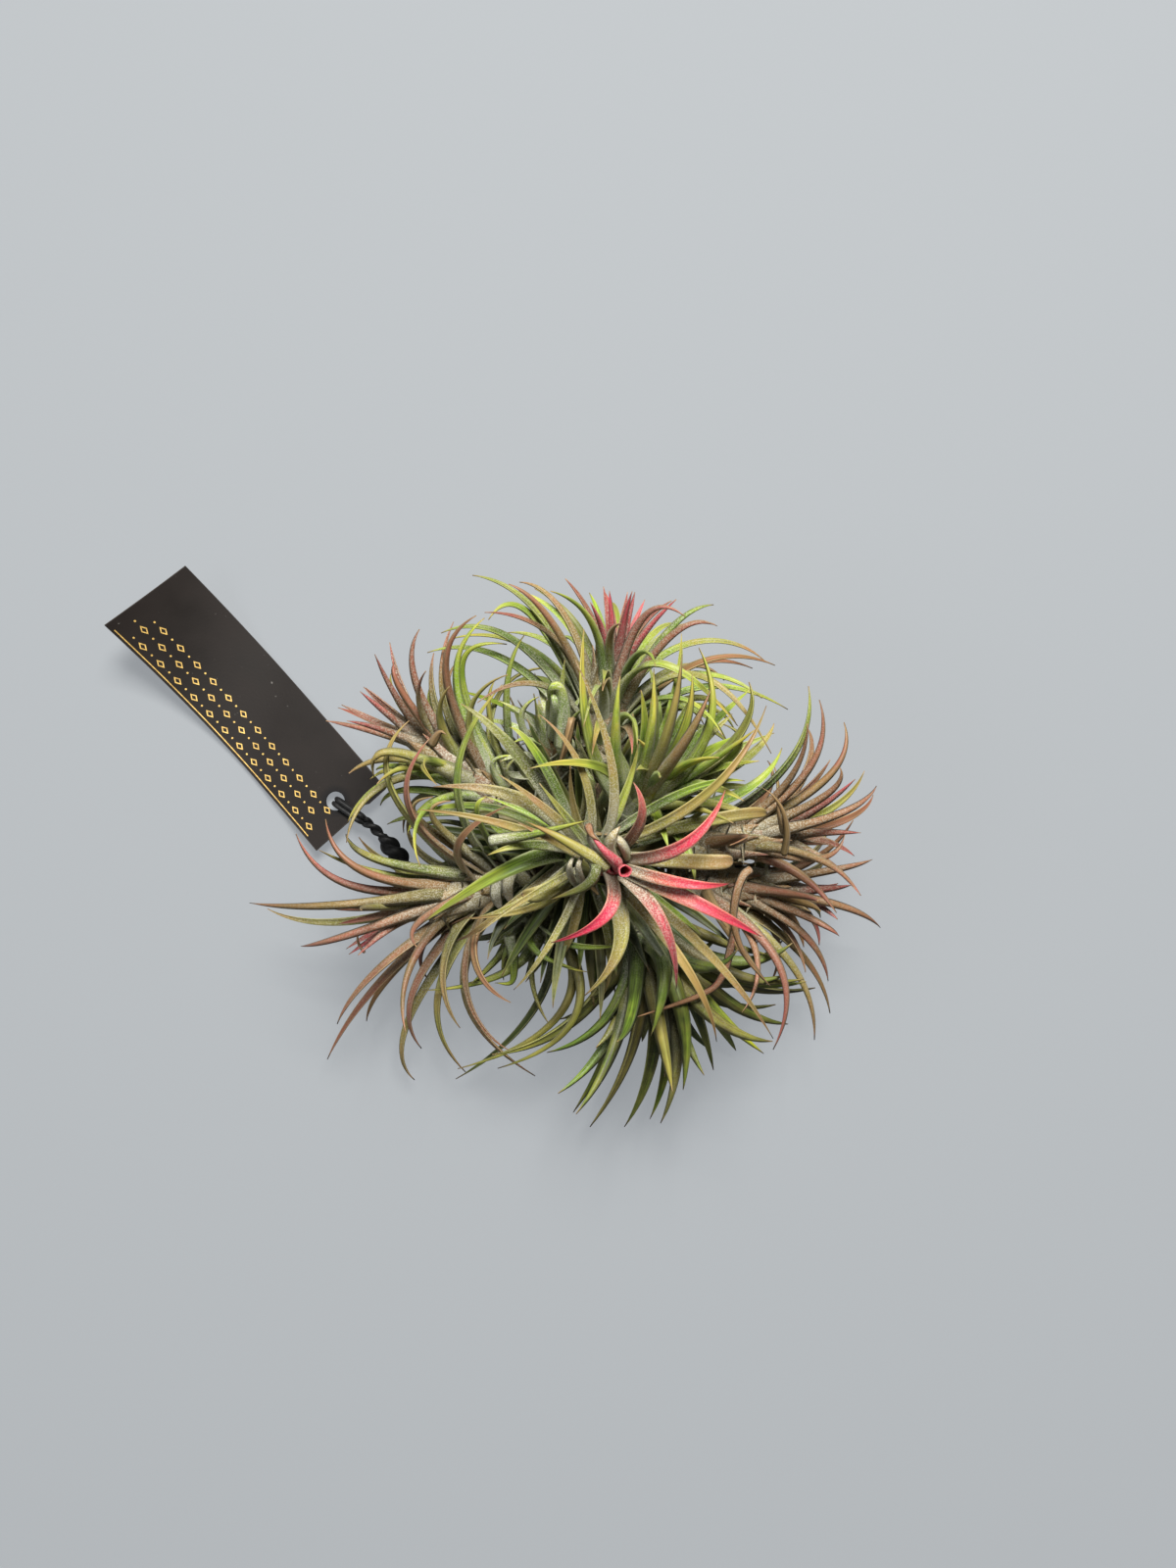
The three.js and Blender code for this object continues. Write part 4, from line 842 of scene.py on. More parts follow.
def set_course(base, spec):
    """(1-u)²·root + 2u(1-u)·pull + u²·tip, with the pull point set so that half way is the given middle."""
    start = base.origin + base.axis * spec["height"]
    out = spec["middle"] - start
    out = unit(out - base.axis * (out @ base.axis))
    root = start + out * spec["root_radius"]
    pull = 2 * spec["middle"] - 0.5 * root - 0.5 * spec["tip"]
    at = (1 - U) ** 2 * root + 2 * U * (1 - U) * pull + U * U * spec["tip"]
    along = unit((pull - root) * (1 - U) + (spec["tip"] - pull) * U)
    return course_on(at, along, np.cross(base.axis, out)[None], spec["twist"], spec["width"], spec["form"])


def course_of(base, spec, shorter):
    """A leaf's course, from either kind of spec."""
    if "tip" in spec:
        return set_course(base, spec)
    return spiral_course(base, {**spec, "length": spec["length"] * shorter})


def faced_up(course):
    """Leaves turn their faces to the light: side + a·(UP × along), made one long again, rolls every section
    towards level, and all of them to the same hand."""
    level = np.cross(UP, course.along)
    hand = -1 if course.side[STEPS // 2] @ level[STEPS // 2] < 0 else 1
    side = unit(course.side + hand * BLADE["face_up"] * level)
    return course._replace(side=side, face=np.cross(course.along, side))


# %% Room between leaves
LEAF_GAP, FLOOR_GAP = 0.3, 0.5
CORD_ROOM = 13  # sheet units kept clear round the stretch of cord that shows
BLADE_CORNERS = np.array([[-1, 1], [0, -1], [1, 1]])
PIECES = ((75, 6), (24, 4), (-1, 3))  # a leaf that bends by more than so many degrees has so many pieces
TINY = 1e-3
Boxes = namedtuple("Boxes", "centre axes extent")


def corners_of(course, kept):
    """The two edges of the flat face and the keel, at the kept steps of a course."""
    x, y = BLADE_CORNERS[:, 0, None], BLADE_CORNERS[:, 1, None]
    side, face = course.side[kept, None] * x, course.face[kept, None] * y
    return course.at[kept, None] + side * course.half[kept, None] + face * course.deep[kept, None]


def kept_steps(course):
    """The more a leaf bends in all, the more steps its plain solid keeps."""
    cosines = np.clip(np.sum(course.along[1:] * course.along[:-1], axis=1), -1, 1)
    bend = np.degrees(np.arccos(cosines).sum())
    pieces = next(count for least, count in PIECES if bend > least)
    return np.arange(0, STEPS + 1, STEPS // pieces)


def boxes_of(course, kept):
    """A box round each piece of the solid leaf, square to the piece."""
    at, side, corners = course.at[kept], course.side[kept], corners_of(course, kept)
    along = unit(at[1:] - at[:-1])
    across = unit(side[:-1] - along * dot(side[:-1], along))
    axes = np.stack([along, across, np.cross(along, across)], axis=1)
    reach = np.einsum("pcx,pax->pca", np.concatenate([corners[:-1], corners[1:]], axis=1), axes)
    low, high = reach.min(axis=1), reach.max(axis=1)
    return Boxes(np.einsum("pa,pax->px", (low + high) / 2, axes), axes, (high - low) / 2)


def past_root(boxes):
    """The number of the first of a leaf's boxes that isn't near its root: a third of them, rounded up."""
    return -(-len(boxes.extent) // 3)


def bar_box(start, end, radius):
    """A box round a straight stretch of something round."""
    along = unit(end - start)
    other = UP if abs(along[2]) < 0.9 else np.array([1.0, 0, 0])
    across = unit(np.cross(along, other))
    axes = np.stack([along, across, np.cross(along, across)])
    extent = np.array([np.linalg.norm(end - start) / 2, radius, radius])
    return Boxes((start + end)[None] / 2, axes[None], extent[None])


def half_shadows(lines, axes, extents):
    """Half the length of each box's shadow on each of its lines."""
    return np.einsum("pla,pa->pl", np.abs(np.einsum("plx,pax->pla", lines, axes)), extents)


class Garden:
    """Everything that has taken its place so far: a box for each stretch, its node, and whether blades of
    the same node must keep clear of it too, which they need not near their roots."""

    def __init__(self):
        """Nothing has taken its place yet."""
        self.boxes = Boxes(np.zeros((0, 3)), np.zeros((0, 3, 3)), np.zeros((0, 3)))
        self.nodes, self.loose = np.zeros(0, object), np.zeros(0, bool)

    def place(self, node, boxes, first_loose=None):
        """Adds boxes. From the given one on, they are loose."""
        count = len(boxes.extent)
        first_loose = count if first_loose is None else first_loose
        self.boxes = Boxes(*(np.concatenate(pair) for pair in zip(self.boxes, boxes)))
        self.nodes = np.concatenate([self.nodes, np.full(count, node, object)])
        self.loose = np.concatenate([self.loose, np.arange(count) >= first_loose])

    def is_free(self, boxes, among, gap):
        """Two boxes are apart where their shadows on some line are: each one's own axes, or a line square
        to an axis of both. Only pairs whose round hulls meet are tested."""
        chosen = Boxes(*(part[among] for part in self.boxes))
        between = chosen.centre[None] - boxes.centre[:, None]
        hulls = np.linalg.norm(boxes.extent, axis=1)[:, None] + np.linalg.norm(chosen.extent, axis=1)[None]
        a, b = np.nonzero(np.linalg.norm(between, axis=2) <= hulls + gap)
        if len(a) == 0:
            return True
        between, own, others = between[a, b], boxes.axes[a], chosen.axes[b]
        crossings = np.cross(own[:, :, None], others[:, None]).reshape(-1, 9, 3)
        sizes = np.linalg.norm(crossings, axis=2, keepdims=True)
        crossings = np.where(sizes > TINY, crossings / np.maximum(sizes, TINY), 0)
        lines = np.concatenate([own, others, crossings], axis=1)
        room = np.abs(np.einsum("plx,px->pl", lines, between))
        room -= half_shadows(lines, own, boxes.extent[a]) + half_shadows(lines, others, chosen.extent[b])
        return bool(np.all(np.any(room > gap, axis=1)))


print("A leaf keeps", LEAF_GAP, "mm from the others, and", FLOOR_GAP, "mm from the floor")

# %% What stands in the leaves' way
CROWN_AT = np.array([0.0, 3.0, 28.0])
STUMP = {"foot": 9.5, "foot_height": 3.0, "foot_taper": 0.6, "waist": 7.2, "waist_height": 9.0, "top": 7.6,
         "top_height": 24.0}
STOLON_RADIUS = 3.0
KNOT_ROOM = 3.2
NECK_SPLIT = 0.2
ROOT = {"radius": 0.55, "steps": 6, "wander": 34, "room": 0.4}
# Each root: its azimuth and rise, its start's height in the crown, its length and its seed.
ROOTS = [
    (127, 16, 26, 46, 3), (131, 34, 27, 40, 5), (124, 28, 25, 34, 9),
    (40, -24, 12, 26, 13), (262, -26, 12, 27, 19), (325, -28, 11, 25, 29),
]


def root_path(root):
    """A wiry root heads out from the crown and wanders, and never goes below the floor."""
    azimuth, rise, height, length, seed = root
    draw = chances(seed)
    at, path = np.array([0.0, 1.0, height]), []
    for _ in range(ROOT["steps"]):
        path.append(at)
        at = at + frame_at(at, azimuth, rise).axis * length / ROOT["steps"]
        at[2] = max(at[2], ROOT["radius"] + FLOOR_GAP)
        azimuth += ROOT["wander"] * (next(draw) - 0.5)
        rise += ROOT["wander"] * (next(draw) - 0.5)
    return np.array([*path, at])


def place_chain(garden, node, points, radius):
    """Boxes round a chain of bars."""
    for start, end in zip(points[:-1], points[1:]):
        garden.place(node, bar_box(start, end, radius))


CARD_ROOM = (1.0, 2.5)  # mm round the card, and above it


def card_middle():
    """The card's middle, on the floor, and its directions: along, across and up."""
    card = frame_at([*CARD["near"], 0], CARD["azimuth"], 0)
    return card.origin + card.axis * CARD["length"] / 2, np.stack([card.axis, np.cross(UP, card.axis), UP])


def place_fixed(garden):
    """The crown, roots, necks, hearts, cord and card."""
    garden.place("crown", bar_box(UPRIGHT.origin, CROWN_AT, STUMP["top"]))
    garden.place("crown", bar_box(UPRIGHT.origin, UP * STUMP["foot_height"], STUMP["foot"]))
    for root in ROOTS:
        place_chain(garden, "crown", root_path(root), ROOT["radius"] + ROOT["room"])
    for head in HEADS:
        foot, heart = foot_of(head), heart_of(head)
        split, top = (foot.origin + foot.axis * head["neck"] * share for share in (NECK_SPLIT, 1))
        garden.place("crown", bar_box(CROWN_AT, foot.origin, STOLON_RADIUS))
        garden.place(f"{head['name']}_head", bar_box(foot.origin, split, neck_radius(head, NECK_SPLIT)))
        garden.place(f"{head['name']}_head", bar_box(split, top, head["girth"]))
        if head["young"] or head["name"] == "front":
            tip = heart.origin + heart.axis * HEART["height"]
            garden.place(f"{head['name']}_heart", bar_box(heart.origin, tip, HEART["radius"]))
    route = np.array([*CORD_INNER, KNOT_AT, *CORD_OUTER], float)
    place_chain(garden, "cord", route, CORD_DIAMETER / 2 + SEAT_GAP)
    garden.place("cord", bar_box(np.array(CORD_INNER[-1]), np.array(CORD_OUTER[0]), KNOT_ROOM))
    middle, axes = card_middle()
    aside, above = CARD_ROOM
    extent = np.array([CARD["length"] / 2 + aside, CARD["width"] / 2 + aside, card_bow(0) + above])
    garden.place("tag", Boxes(middle[None], axes[None], extent[None]))


CORD_SHOWN = to_sheet(np.array([KNOT_AT, *CORD_OUTER]))
SPREAD = {"centre": np.array([-7, 3]), "reach": np.array([80, 71])}  # an oval, seen from above
BARE_FROM = 0.35  # from this share of its neck on, a head with a heart keeps other heads' spirals off
print("In the leaves' way stand", len(ROOTS), "roots and", len(HEADS), "necks")

# %% Growing every leaf
DODGE = {"tries": 36, "sway": 46, "curl": 42, "turn": 14, "lift": 22, "shift": 4}
SHORTER = (1, 0.84, 0.68, 0.54)
OUTER = {"from": 0.93, "down": 0.74, "turn": 10, "curl": 26, "sway": 26, "twist": 60, "power": 0.8,
         "length": 0.2, "width": 0.16}
YOUNG = {"from": 0.85, "down": 0.75, "start": 40, "turn": 10, "curl_chance": 10, "sway": 16, "twist": 40,
         "length": 0.24, "reach": (15, 27), "lean": (5, 26), "curl": (2, 26)}


def between(pair, share):
    """The value at a share of the way from the pair's first to its second."""
    return pair[0] + (pair[1] - pair[0]) * share


def dodged(spec, i):
    """The i-th course to try, on a spiral that widens from the leaf's own."""
    far, angle = i / DODGE["tries"], np.radians(i * GOLDEN_TURN)
    c, s = far * np.cos(angle), far * np.sin(angle)
    if "tip" in spec:
        middle = spec["middle"] + np.array([DODGE["shift"] * s, DODGE["shift"] * c, DODGE["lift"] * c])
        tip = spec["tip"] + np.array([DODGE["shift"] * c, DODGE["shift"] * s, DODGE["lift"] * s])
        return {**spec, "middle": middle, "tip": tip}
    return {**spec, "sway": spec["sway"] + DODGE["sway"] * c, "curl": spec["curl"] + DODGE["curl"] * s,
            "turn": spec["turn"] + DODGE["turn"] * (c * c - s * s)}


def chance(draw, size):
    """A draw from half the size below 0 to half of it above."""
    return size * (next(draw) - 0.5)


def outer_spec(head, k, draw):
    """Older leaves sit lower on the neck, lean further out and curl back more."""
    t = (k + 0.5) / head["leaves"]
    height = head["neck"] * (OUTER["from"] - OUTER["down"] * t)
    return dict(
        height=height,
        root_radius=neck_radius(head, height / head["neck"]) * BLADE["root_sink"],
        turn=head["start"] + k * GOLDEN_TURN + chance(draw, OUTER["turn"]),
        lean=between(head["lean"], t),
        curl=between(head["curl"], t ** OUTER["power"]) + chance(draw, OUTER["curl"]),
        sway=chance(draw, OUTER["sway"]),
        twist=chance(draw, OUTER["twist"]),
        length=between(head["reach"], np.sqrt(t)) * (1 + chance(draw, OUTER["length"])),
        width=head["width"] * (1 + chance(draw, OUTER["width"])),
        form=form_of(head),
        tone=head["tones"][int(k) % len(head["tones"])],
    )


def young_spec(head, k, draw):
    """The innermost young leaves stand almost straight."""
    t = (k + 0.5) / head["young"]
    share = YOUNG["from"] - YOUNG["down"] * t
    return dict(
        height=HEART["height"] * share,
        root_radius=heart_radius(share) * BLADE["root_sink"],
        turn=head["start"] + YOUNG["start"] + k * GOLDEN_TURN + chance(draw, YOUNG["turn"]),
        lean=between(YOUNG["lean"], t),
        curl=between(YOUNG["curl"], t) + chance(draw, YOUNG["curl_chance"]),
        sway=chance(draw, YOUNG["sway"]),
        twist=chance(draw, YOUNG["twist"]),
        length=between(YOUNG["reach"], np.sqrt(t)) * (1 + chance(draw, YOUNG["length"])),
        width=HEART["width"],
        form=form_of(head),
        tone=head["young_tone"],
    )


def set_spec(row, head, length, radius_at):
    """A leaf that has its own row."""
    share, middle, tip, width, *tone = row
    return dict(height=share * length, root_radius=radius_at(share) * BLADE["root_sink"],
                middle=from_sheet(*middle), tip=from_sheet(*tip), twist=0, width=width,
                form=form_of(head), tone=tone[0] if tone else "green")


def is_clear(garden, node, course, kept, boxes, crossing, gap):
    """True where nothing is in the leaf's way, and it stays off the floor and off the cord."""
    if corners_of(course, kept)[..., 2].min() < FLOOR_GAP:
        return False
    gaps = np.linalg.norm(to_sheet(course.at[kept])[:, None] - CORD_SHOWN, axis=2)
    if gaps.min() < CORD_ROOM:
        return False
    own = garden.nodes == node
    if not garden.is_free(boxes, ~own, gap):
        return False
    outer = Boxes(*(part[past_root(boxes):] for part in boxes))
    return crossing or garden.is_free(outer, own & garden.loose, 0)


def over_neck(head, node, at):
    """True where any of the places is over the bare part of a head's neck, as seen from straight above."""
    if node in (f"{head['name']}_head", f"{head['name']}_heart"):
        return False
    start, end = foot_of(head).origin, heart_of(head).origin
    start = start + (end - start) * BARE_FROM
    line = end[:2] - start[:2]
    share = np.clip((at[:, :2] - start[:2]) @ line / (line @ line), 0, 1)[:, None]
    aside = np.linalg.norm(at[:, :2] - start[:2] - share * line, axis=1)
    return bool(np.any((aside < head["girth"]) & (at[:, 2] >= start[2])))


def strays(node, course):
    """True where a leaf's tip is outside the clump's spread, or any of the leaf lies over the card or over
    another head's bare neck."""
    if np.linalg.norm((course.at[-1, :2] - SPREAD["centre"]) / SPREAD["reach"]) > 1:
        return True
    middle, axes = card_middle()
    aside = np.abs((course.at - middle) @ axes[:2].T) - [CARD["length"] / 2, CARD["width"] / 2]
    over_card = (aside.max(axis=1) < CARD_ROOM[0]).any()
    return over_card or any(over_neck(head, node, course.at) for head in HEADS if head["young"])


def grow(garden, node, base, spec, gap=LEAF_GAP):
    """The leaf as its head wants it, or the nearest clear course, or none. Crossing its own head's other
    leaves is the last resort. A spiral's leaf also stays within the spread, and off the card and other
    heads' necks."""
    for crossing in (False, True):
        for shorter in (1,) if "tip" in spec else SHORTER:
            for i in range(DODGE["tries"]):
                course = course_of(base, dodged(spec, i), shorter)
                if "tip" not in spec and strays(node, course):
                    continue
                course = faced_up(course)
                kept = kept_steps(course)
                boxes = boxes_of(course, kept)
                if is_clear(garden, node, course, kept, boxes, crossing, gap):
                    garden.place(node, boxes, past_root(boxes))
                    return [(course, spec)]
    return []


def grow_all():
    """Hearts first, then the set leaves, and then every head in turn adds one of its spiral, inside out."""
    garden, grown = Garden(), {}
    place_fixed(garden)
    draws = {head["name"]: chances(head["seed"]) for head in HEADS}

    def add(node, base, spec):
        """One more leaf for a node, if there is room."""
        grown.setdefault(node, []).extend(grow(garden, node, base, spec))

    for row in SET_BLADES["front_heart"]:
        add("front_heart", heart_of(HEADS[0]), set_spec(row, HEADS[0], HEART["height"], heart_radius))
    for head in HEADS:
        for k in range(head["young"]):
            add(f"{head['name']}_heart", heart_of(head), young_spec(head, k, draws[head["name"]]))
    for head in HEADS:
        for row in SET_BLADES[head["name"]]:
            spec = set_spec(row, head, head["neck"], lambda share: neck_radius(head, share))
            add(f"{head['name']}_head", foot_of(head), spec)
    for k in range(max(head["leaves"] for head in HEADS)):
        for head in HEADS:
            if k < head["leaves"]:
                add(f"{head['name']}_head", foot_of(head), outer_spec(head, k, draws[head["name"]]))
    return garden, grown


garden, grown = grow_all()
print({node: len(leaves) for node, leaves in grown.items()})

# %% [markdown]
# ## The leaves between
#
# The frame's solids hold the leaves that make the outline, and as many more as show the heads' fullness. A
# real clump is denser inside. So each head gets some more leaves here, by the same rule, once all of the
# frame's own have taken their places. The first of them have rows of their own, and the rest are of any age
# and a little shorter. Their boxes may overlap by a little, because a box is wider than the leaf in it.

# %% The leaves that fill the clump
FILL_GAP = -0.7
FILL_LENGTH, FILL_WIDTH = 0.8, 1.15
FILL = {"front": 6, "top": 18, "upper_left": 13, "left": 8, "right_upper": 6, "right_lower": 6, "bottom": 12,
        "inner": 16, "pup": 4, "low_pup": 0}
SHADED = {"count": 90, "height": (16, 44), "lean": (96, 62), "curl": 30, "sway": 30, "length": (26, 44),
          "width": 6.5, "root_radius": 5.0, "gap": -2.5}
# Rows in the dark tone lie low and deep in the clump, where that tone is painted shade.
FILL_ROWS = {
    "front": [
        [0.5, [552, 776, 72], [520, 742, 74], 5.2],
        [0.3, [556, 838, 60], [494, 812, 58], 4.4, "lime"],
        [0.2, [500, 824, 52], [418, 833, 44], 4.8, "dark"],
        [0.3, [520, 852, 58], [500, 838, 62], 4.4, "silver"],
    ],
    "inner": [
        [0.4, [748, 770, 62], [740, 739, 64], 4.2, "lime"],
        [0.2, [690, 776, 44], [730, 783, 38], 4.4, "dark"],
        [0.3, [640, 790, 56], [612, 742, 62], 4.8, "silver"],
    ],
    "top": [
        [0.6, [668, 677, 68], [753, 741, 62], 5.0, "lime"],
        [0.3, [690, 724, 40], [742, 731, 36], 4.2],
    ],
    "upper_left": [
        [0.1, [489, 752, 44], [483, 712, 50], 5.0, "silver"],
        [0.1, [502, 742, 46], [505, 694, 50], 3.8],
        [0.1, [503, 782, 46], [528, 771, 50], 3.8, "silver"],
    ],
    "left": [
        [0.3, [466, 800, 56], [512, 700, 66], 4.8],
        [0.3, [428, 836, 50], [442, 813, 56], 3.8, "bronze"],
        [0.3, [444, 838, 52], [460, 817, 56], 4.2, "olive"],
        [0.2, [489, 838, 56], [496, 813, 60], 4.2, "lime"],
        [0.2, [506, 836, 48], [509, 815, 52], 4.2, "silver"],
    ],
    "pup": [
        [0.3, [532, 738, 56], [550, 711, 62], 4.2],
        [0.2, [520, 790, 48], [531, 770, 54], 4.0],
    ],
    "low_pup": [
        [0.2, [480, 842, 40], [430, 850, 34], 4.6, "dark"],
        [0.3, [470, 880, 40], [440, 850, 38], 4.4, "silver"],
    ],
}


def fill_spec(head, draw):
    """A leaf of any age, at a place on the spiral that goes with it."""
    spec = outer_spec(head, next(draw) * head["leaves"] - 0.5, draw)
    return {**spec, "length": spec["length"] * FILL_LENGTH, "width": spec["width"] * FILL_WIDTH}


def grow_fill():
    """The fill's set leaves, and then every head in turn adds one."""
    draws = {head["name"]: chances(head["seed"] + 1) for head in HEADS}
    extra = {}

    def add(head, spec):
        """One more leaf for a head, if there is room."""
        node = f"{head['name']}_head"
        extra.setdefault(node, []).extend(grow(garden, node, foot_of(head), spec, FILL_GAP))

    for head in HEADS:
        for row in FILL_ROWS.get(head["name"], []):
            add(head, set_spec(row, head, head["neck"], lambda share: neck_radius(head, share)))
    for k in range(max(FILL.values())):
        for head in HEADS:
            if k < FILL[head["name"]]:
                add(head, fill_spec(head, draws[head["name"]]))
    return extra


def grow_shaded():
    """Old leaves stand out all round from the crown, under the heads: short, wide and level, in painted
    shade.
    """
    foot = UPRIGHT._replace(origin=CROWN_AT * [1, 1, 0])
    draw, leaves = chances(7), []
    for k in range(SHADED["count"]):
        t = (k + 0.5) / SHADED["count"]
        spec = dict(
            height=between(SHADED["height"], t), root_radius=SHADED["root_radius"], turn=k * GOLDEN_TURN,
            lean=between(SHADED["lean"], t), curl=SHADED["curl"] * next(draw),
            sway=chance(draw, SHADED["sway"]), length=between(SHADED["length"], next(draw)), twist=0,
            width=SHADED["width"], form=FORMS["others"], tone="shaded",
        )
        leaves += grow(garden, "crown", foot, spec, SHADED["gap"])
    return leaves


filling = grow_fill()
shaded = grow_shaded()
print("Filled in:", {node: len(leaves) for node, leaves in filling.items()})
print("In the shade:", len(shaded))

# %% [markdown]
# ## The surface of a leaf
#
# A real leaf of this kind is a narrow gutter: its margins stand up, its upper face is hollow, its back is
# round, and towards the head it widens into a sheath that hugs the neck. Here a ring of eight points follows
# the leaf's course. The margins' height grows with the square of the distance from the middle line, which
# gives the gutter, and the sheath is the same ring made wider and deeper. A flat strip with a bump would be
# lighter, but it shows its thinness wherever a leaf turns on edge.

# %% A leaf from its course
RING_X = np.array([-1, -0.55, 0, 0.55, 1, 0.6, 0, -0.6])
ON_BACK = np.array([0, 0, 0, 0, 0, 1, 1, 1])
LEAF = {"groove": 0.9, "thick": 0.95, "tip_width": 0.16, "sheath_share": 0.45, "sheath_wider": 0.85,
        "deep_share": 0.45, "deep_least": 0.06, "thinner_sheath": 0.35, "sunk": 0.1, "hug": 6.0,
        "dry_from": 0.93}
BACK = {"grain": 0.5, "edge": 0.6}  # how far the back's grain is shifted, and its margin's paleness lessened
GRAIN_STEP = 13.7  # from one leaf's or stem's own grain to the next one's
TONE_AT = (0.08, 0.5, 0.94)  # where along the leaf each tone's three values hold

# How much each of a leaf's values varies from leaf to leaf: how bright its green is, how far it has turned
# from green, how rosy that turn is, how much silver scale it wears, and how dry it is.
JITTER = {"bright": 0.12, "warm": 0.12, "rosy": 0.06, "scurf": 0.1, "dry": 0}
# The same values in the same order, each at the leaf's base, middle and tip. Dryness that is left out is 0.
TONE_ROWS = {
    "green": [(0.28, 0.44, 0.68), (0, 0.08, 0.4), (0, 0.05, 0.15), (1.0, 0.26, 0.1)],
    "lime": [(0.3, 0.52, 0.76), (0, 0.12, 0.45), (0, 0.05, 0.12), (0.95, 0.2, 0.08)],
    # dark and dark_lime: deep greens, partly the bottom head's own colour and partly painted shade. On low
    # leaves deep in the clump, dark is painted shade.
    "dark": [(0, 0.06, 0.28), (0.12, 0.16, 0.24), (0, 0, 0), (0.42, 0.1, 0.03)],
    "dark_lime": [(0.05, 0.2, 0.85), (0.12, 0.1, 0.1), (0, 0, 0), (0.42, 0.1, 0.03)],
    # A flat dark green, painted shade on the old leaves between the heads and on the front head's neck and
    # bracts.
    "shaded": [(0, 0, 0), (0.1, 0, 0), (0.1, 0.1, 0.1), (0.1, 0, 0)],
    "olive": [(0.35, 0.45, 0.55), (0.3, 0.5, 0.8), (0.05, 0.1, 0.25), (0.9, 0.25, 0.1)],
    "tan": [(0.4, 0.5, 0.6), (0.55, 0.8, 0.95), (0.1, 0.1, 0.25), (0.9, 0.25, 0.1)],
    "bronze": [(0.25, 0.35, 0.4), (0.7, 0.95, 1), (0.28, 0.36, 0.42), (0.7, 0.22, 0.1)],
    "salmon": [(0.5, 0.4, 0.4), (0.75, 1, 1), (0.35, 0.62, 0.7), (0.85, 0.42, 0.25)],
    "plum": [(0.15, 0.25, 0.3), (0.5, 0.8, 0.95), (0.28, 0.34, 0.4), (0.6, 0.22, 0.12)],
    "bronze_tip": [(0.3, 0.45, 0.5), (0.1, 0.4, 0.9), (0.1, 0.3, 0.5), (0.9, 0.4, 0.15)],
    # shade_olive is olive darkened for the low leaves of the left and lower right heads: painted shade.
    "shade_olive": [(0.15, 0.3, 0.4), (0.25, 0.5, 0.8), (0.1, 0.15, 0.3), (0.7, 0.3, 0.15)],
    "flush": [(0.3, 0.3, 0.3), (0.75, 0.95, 1), (0.36, 0.46, 0.56), (0.7, 0.36, 0.15)],
    "rose": [(0.3, 0.3, 0.3), (0.8, 1, 1), (0.42, 0.58, 0.68), (0.7, 0.28, 0.12)],
    "crimson": [(0.5, 0.4, 0.4), (0.7, 1, 1), (0.55, 0.95, 1), (0.85, 0.14, 0.05)],
    "silver": [(0.45, 0.5, 0.6), (0.1, 0.1, 0.3), (0, 0, 0.05), (1, 0.8, 0.5)],
    "bract": [(0.2, 0.3, 0.3), (0.7, 0.8, 1), (0.25, 0.2, 0.1), (0.9, 0.6, 0.2), (0.3, 0.4, 1)],
    "sheath": [(0.25, 0.3, 0.3), (0.6, 0.75, 0.9), (0.3, 0.3, 0.35), (0.75, 0.6, 0.35)],
    "collar": [(0.4, 0.4, 0.4), (0.4, 0.5, 0.9), (0.15, 0.2, 0.25), (0.8, 1, 0.9)],
    "tube": [(0.3, 0.3, 0.3), (1, 1, 1), (0.8, 0.84, 0.8), (0.5, 0.3, 0.1)],
    "cut_tan": [(0.4, 0.5, 0.5), (0.6, 0.85, 0.95), (0.1, 0.2, 0.3), (0.8, 0.25, 0.1)],
    "cut_olive": [(0.3, 0.4, 0.5), (0.3, 0.5, 0.85), (0.05, 0.1, 0.2), (0.8, 0.25, 0.1)],
    "dead": [(0.3, 0.3, 0.3), (1, 1, 1), (0.3, 0.3, 0.25), (0.4, 0.15, 0.1), (0.1, 0.1, 0.7)],
    "dry": [(0.3, 0.3, 0.3), (1, 1, 1), (0.1, 0.1, 0.1), (0.5, 0.25, 0.15), (0.7, 0.85, 1)],
}
TONES = {tone: dict(zip(JITTER, [*rows, (0, 0, 0)])) for tone, rows in TONE_ROWS.items()}
BLUNT = {"collar": 5, "cut_tan": 12, "cut_olive": 12}  # the taper that these tones' leaves have instead


def grain_grid(across, along, own):
    """The ruler that the grain is read on: across the surface, along it, and a place of the leaf's own."""
    across, along = np.broadcast_arrays(across, along)
    return np.stack([across, along, np.full(across.shape, own)], axis=-1)


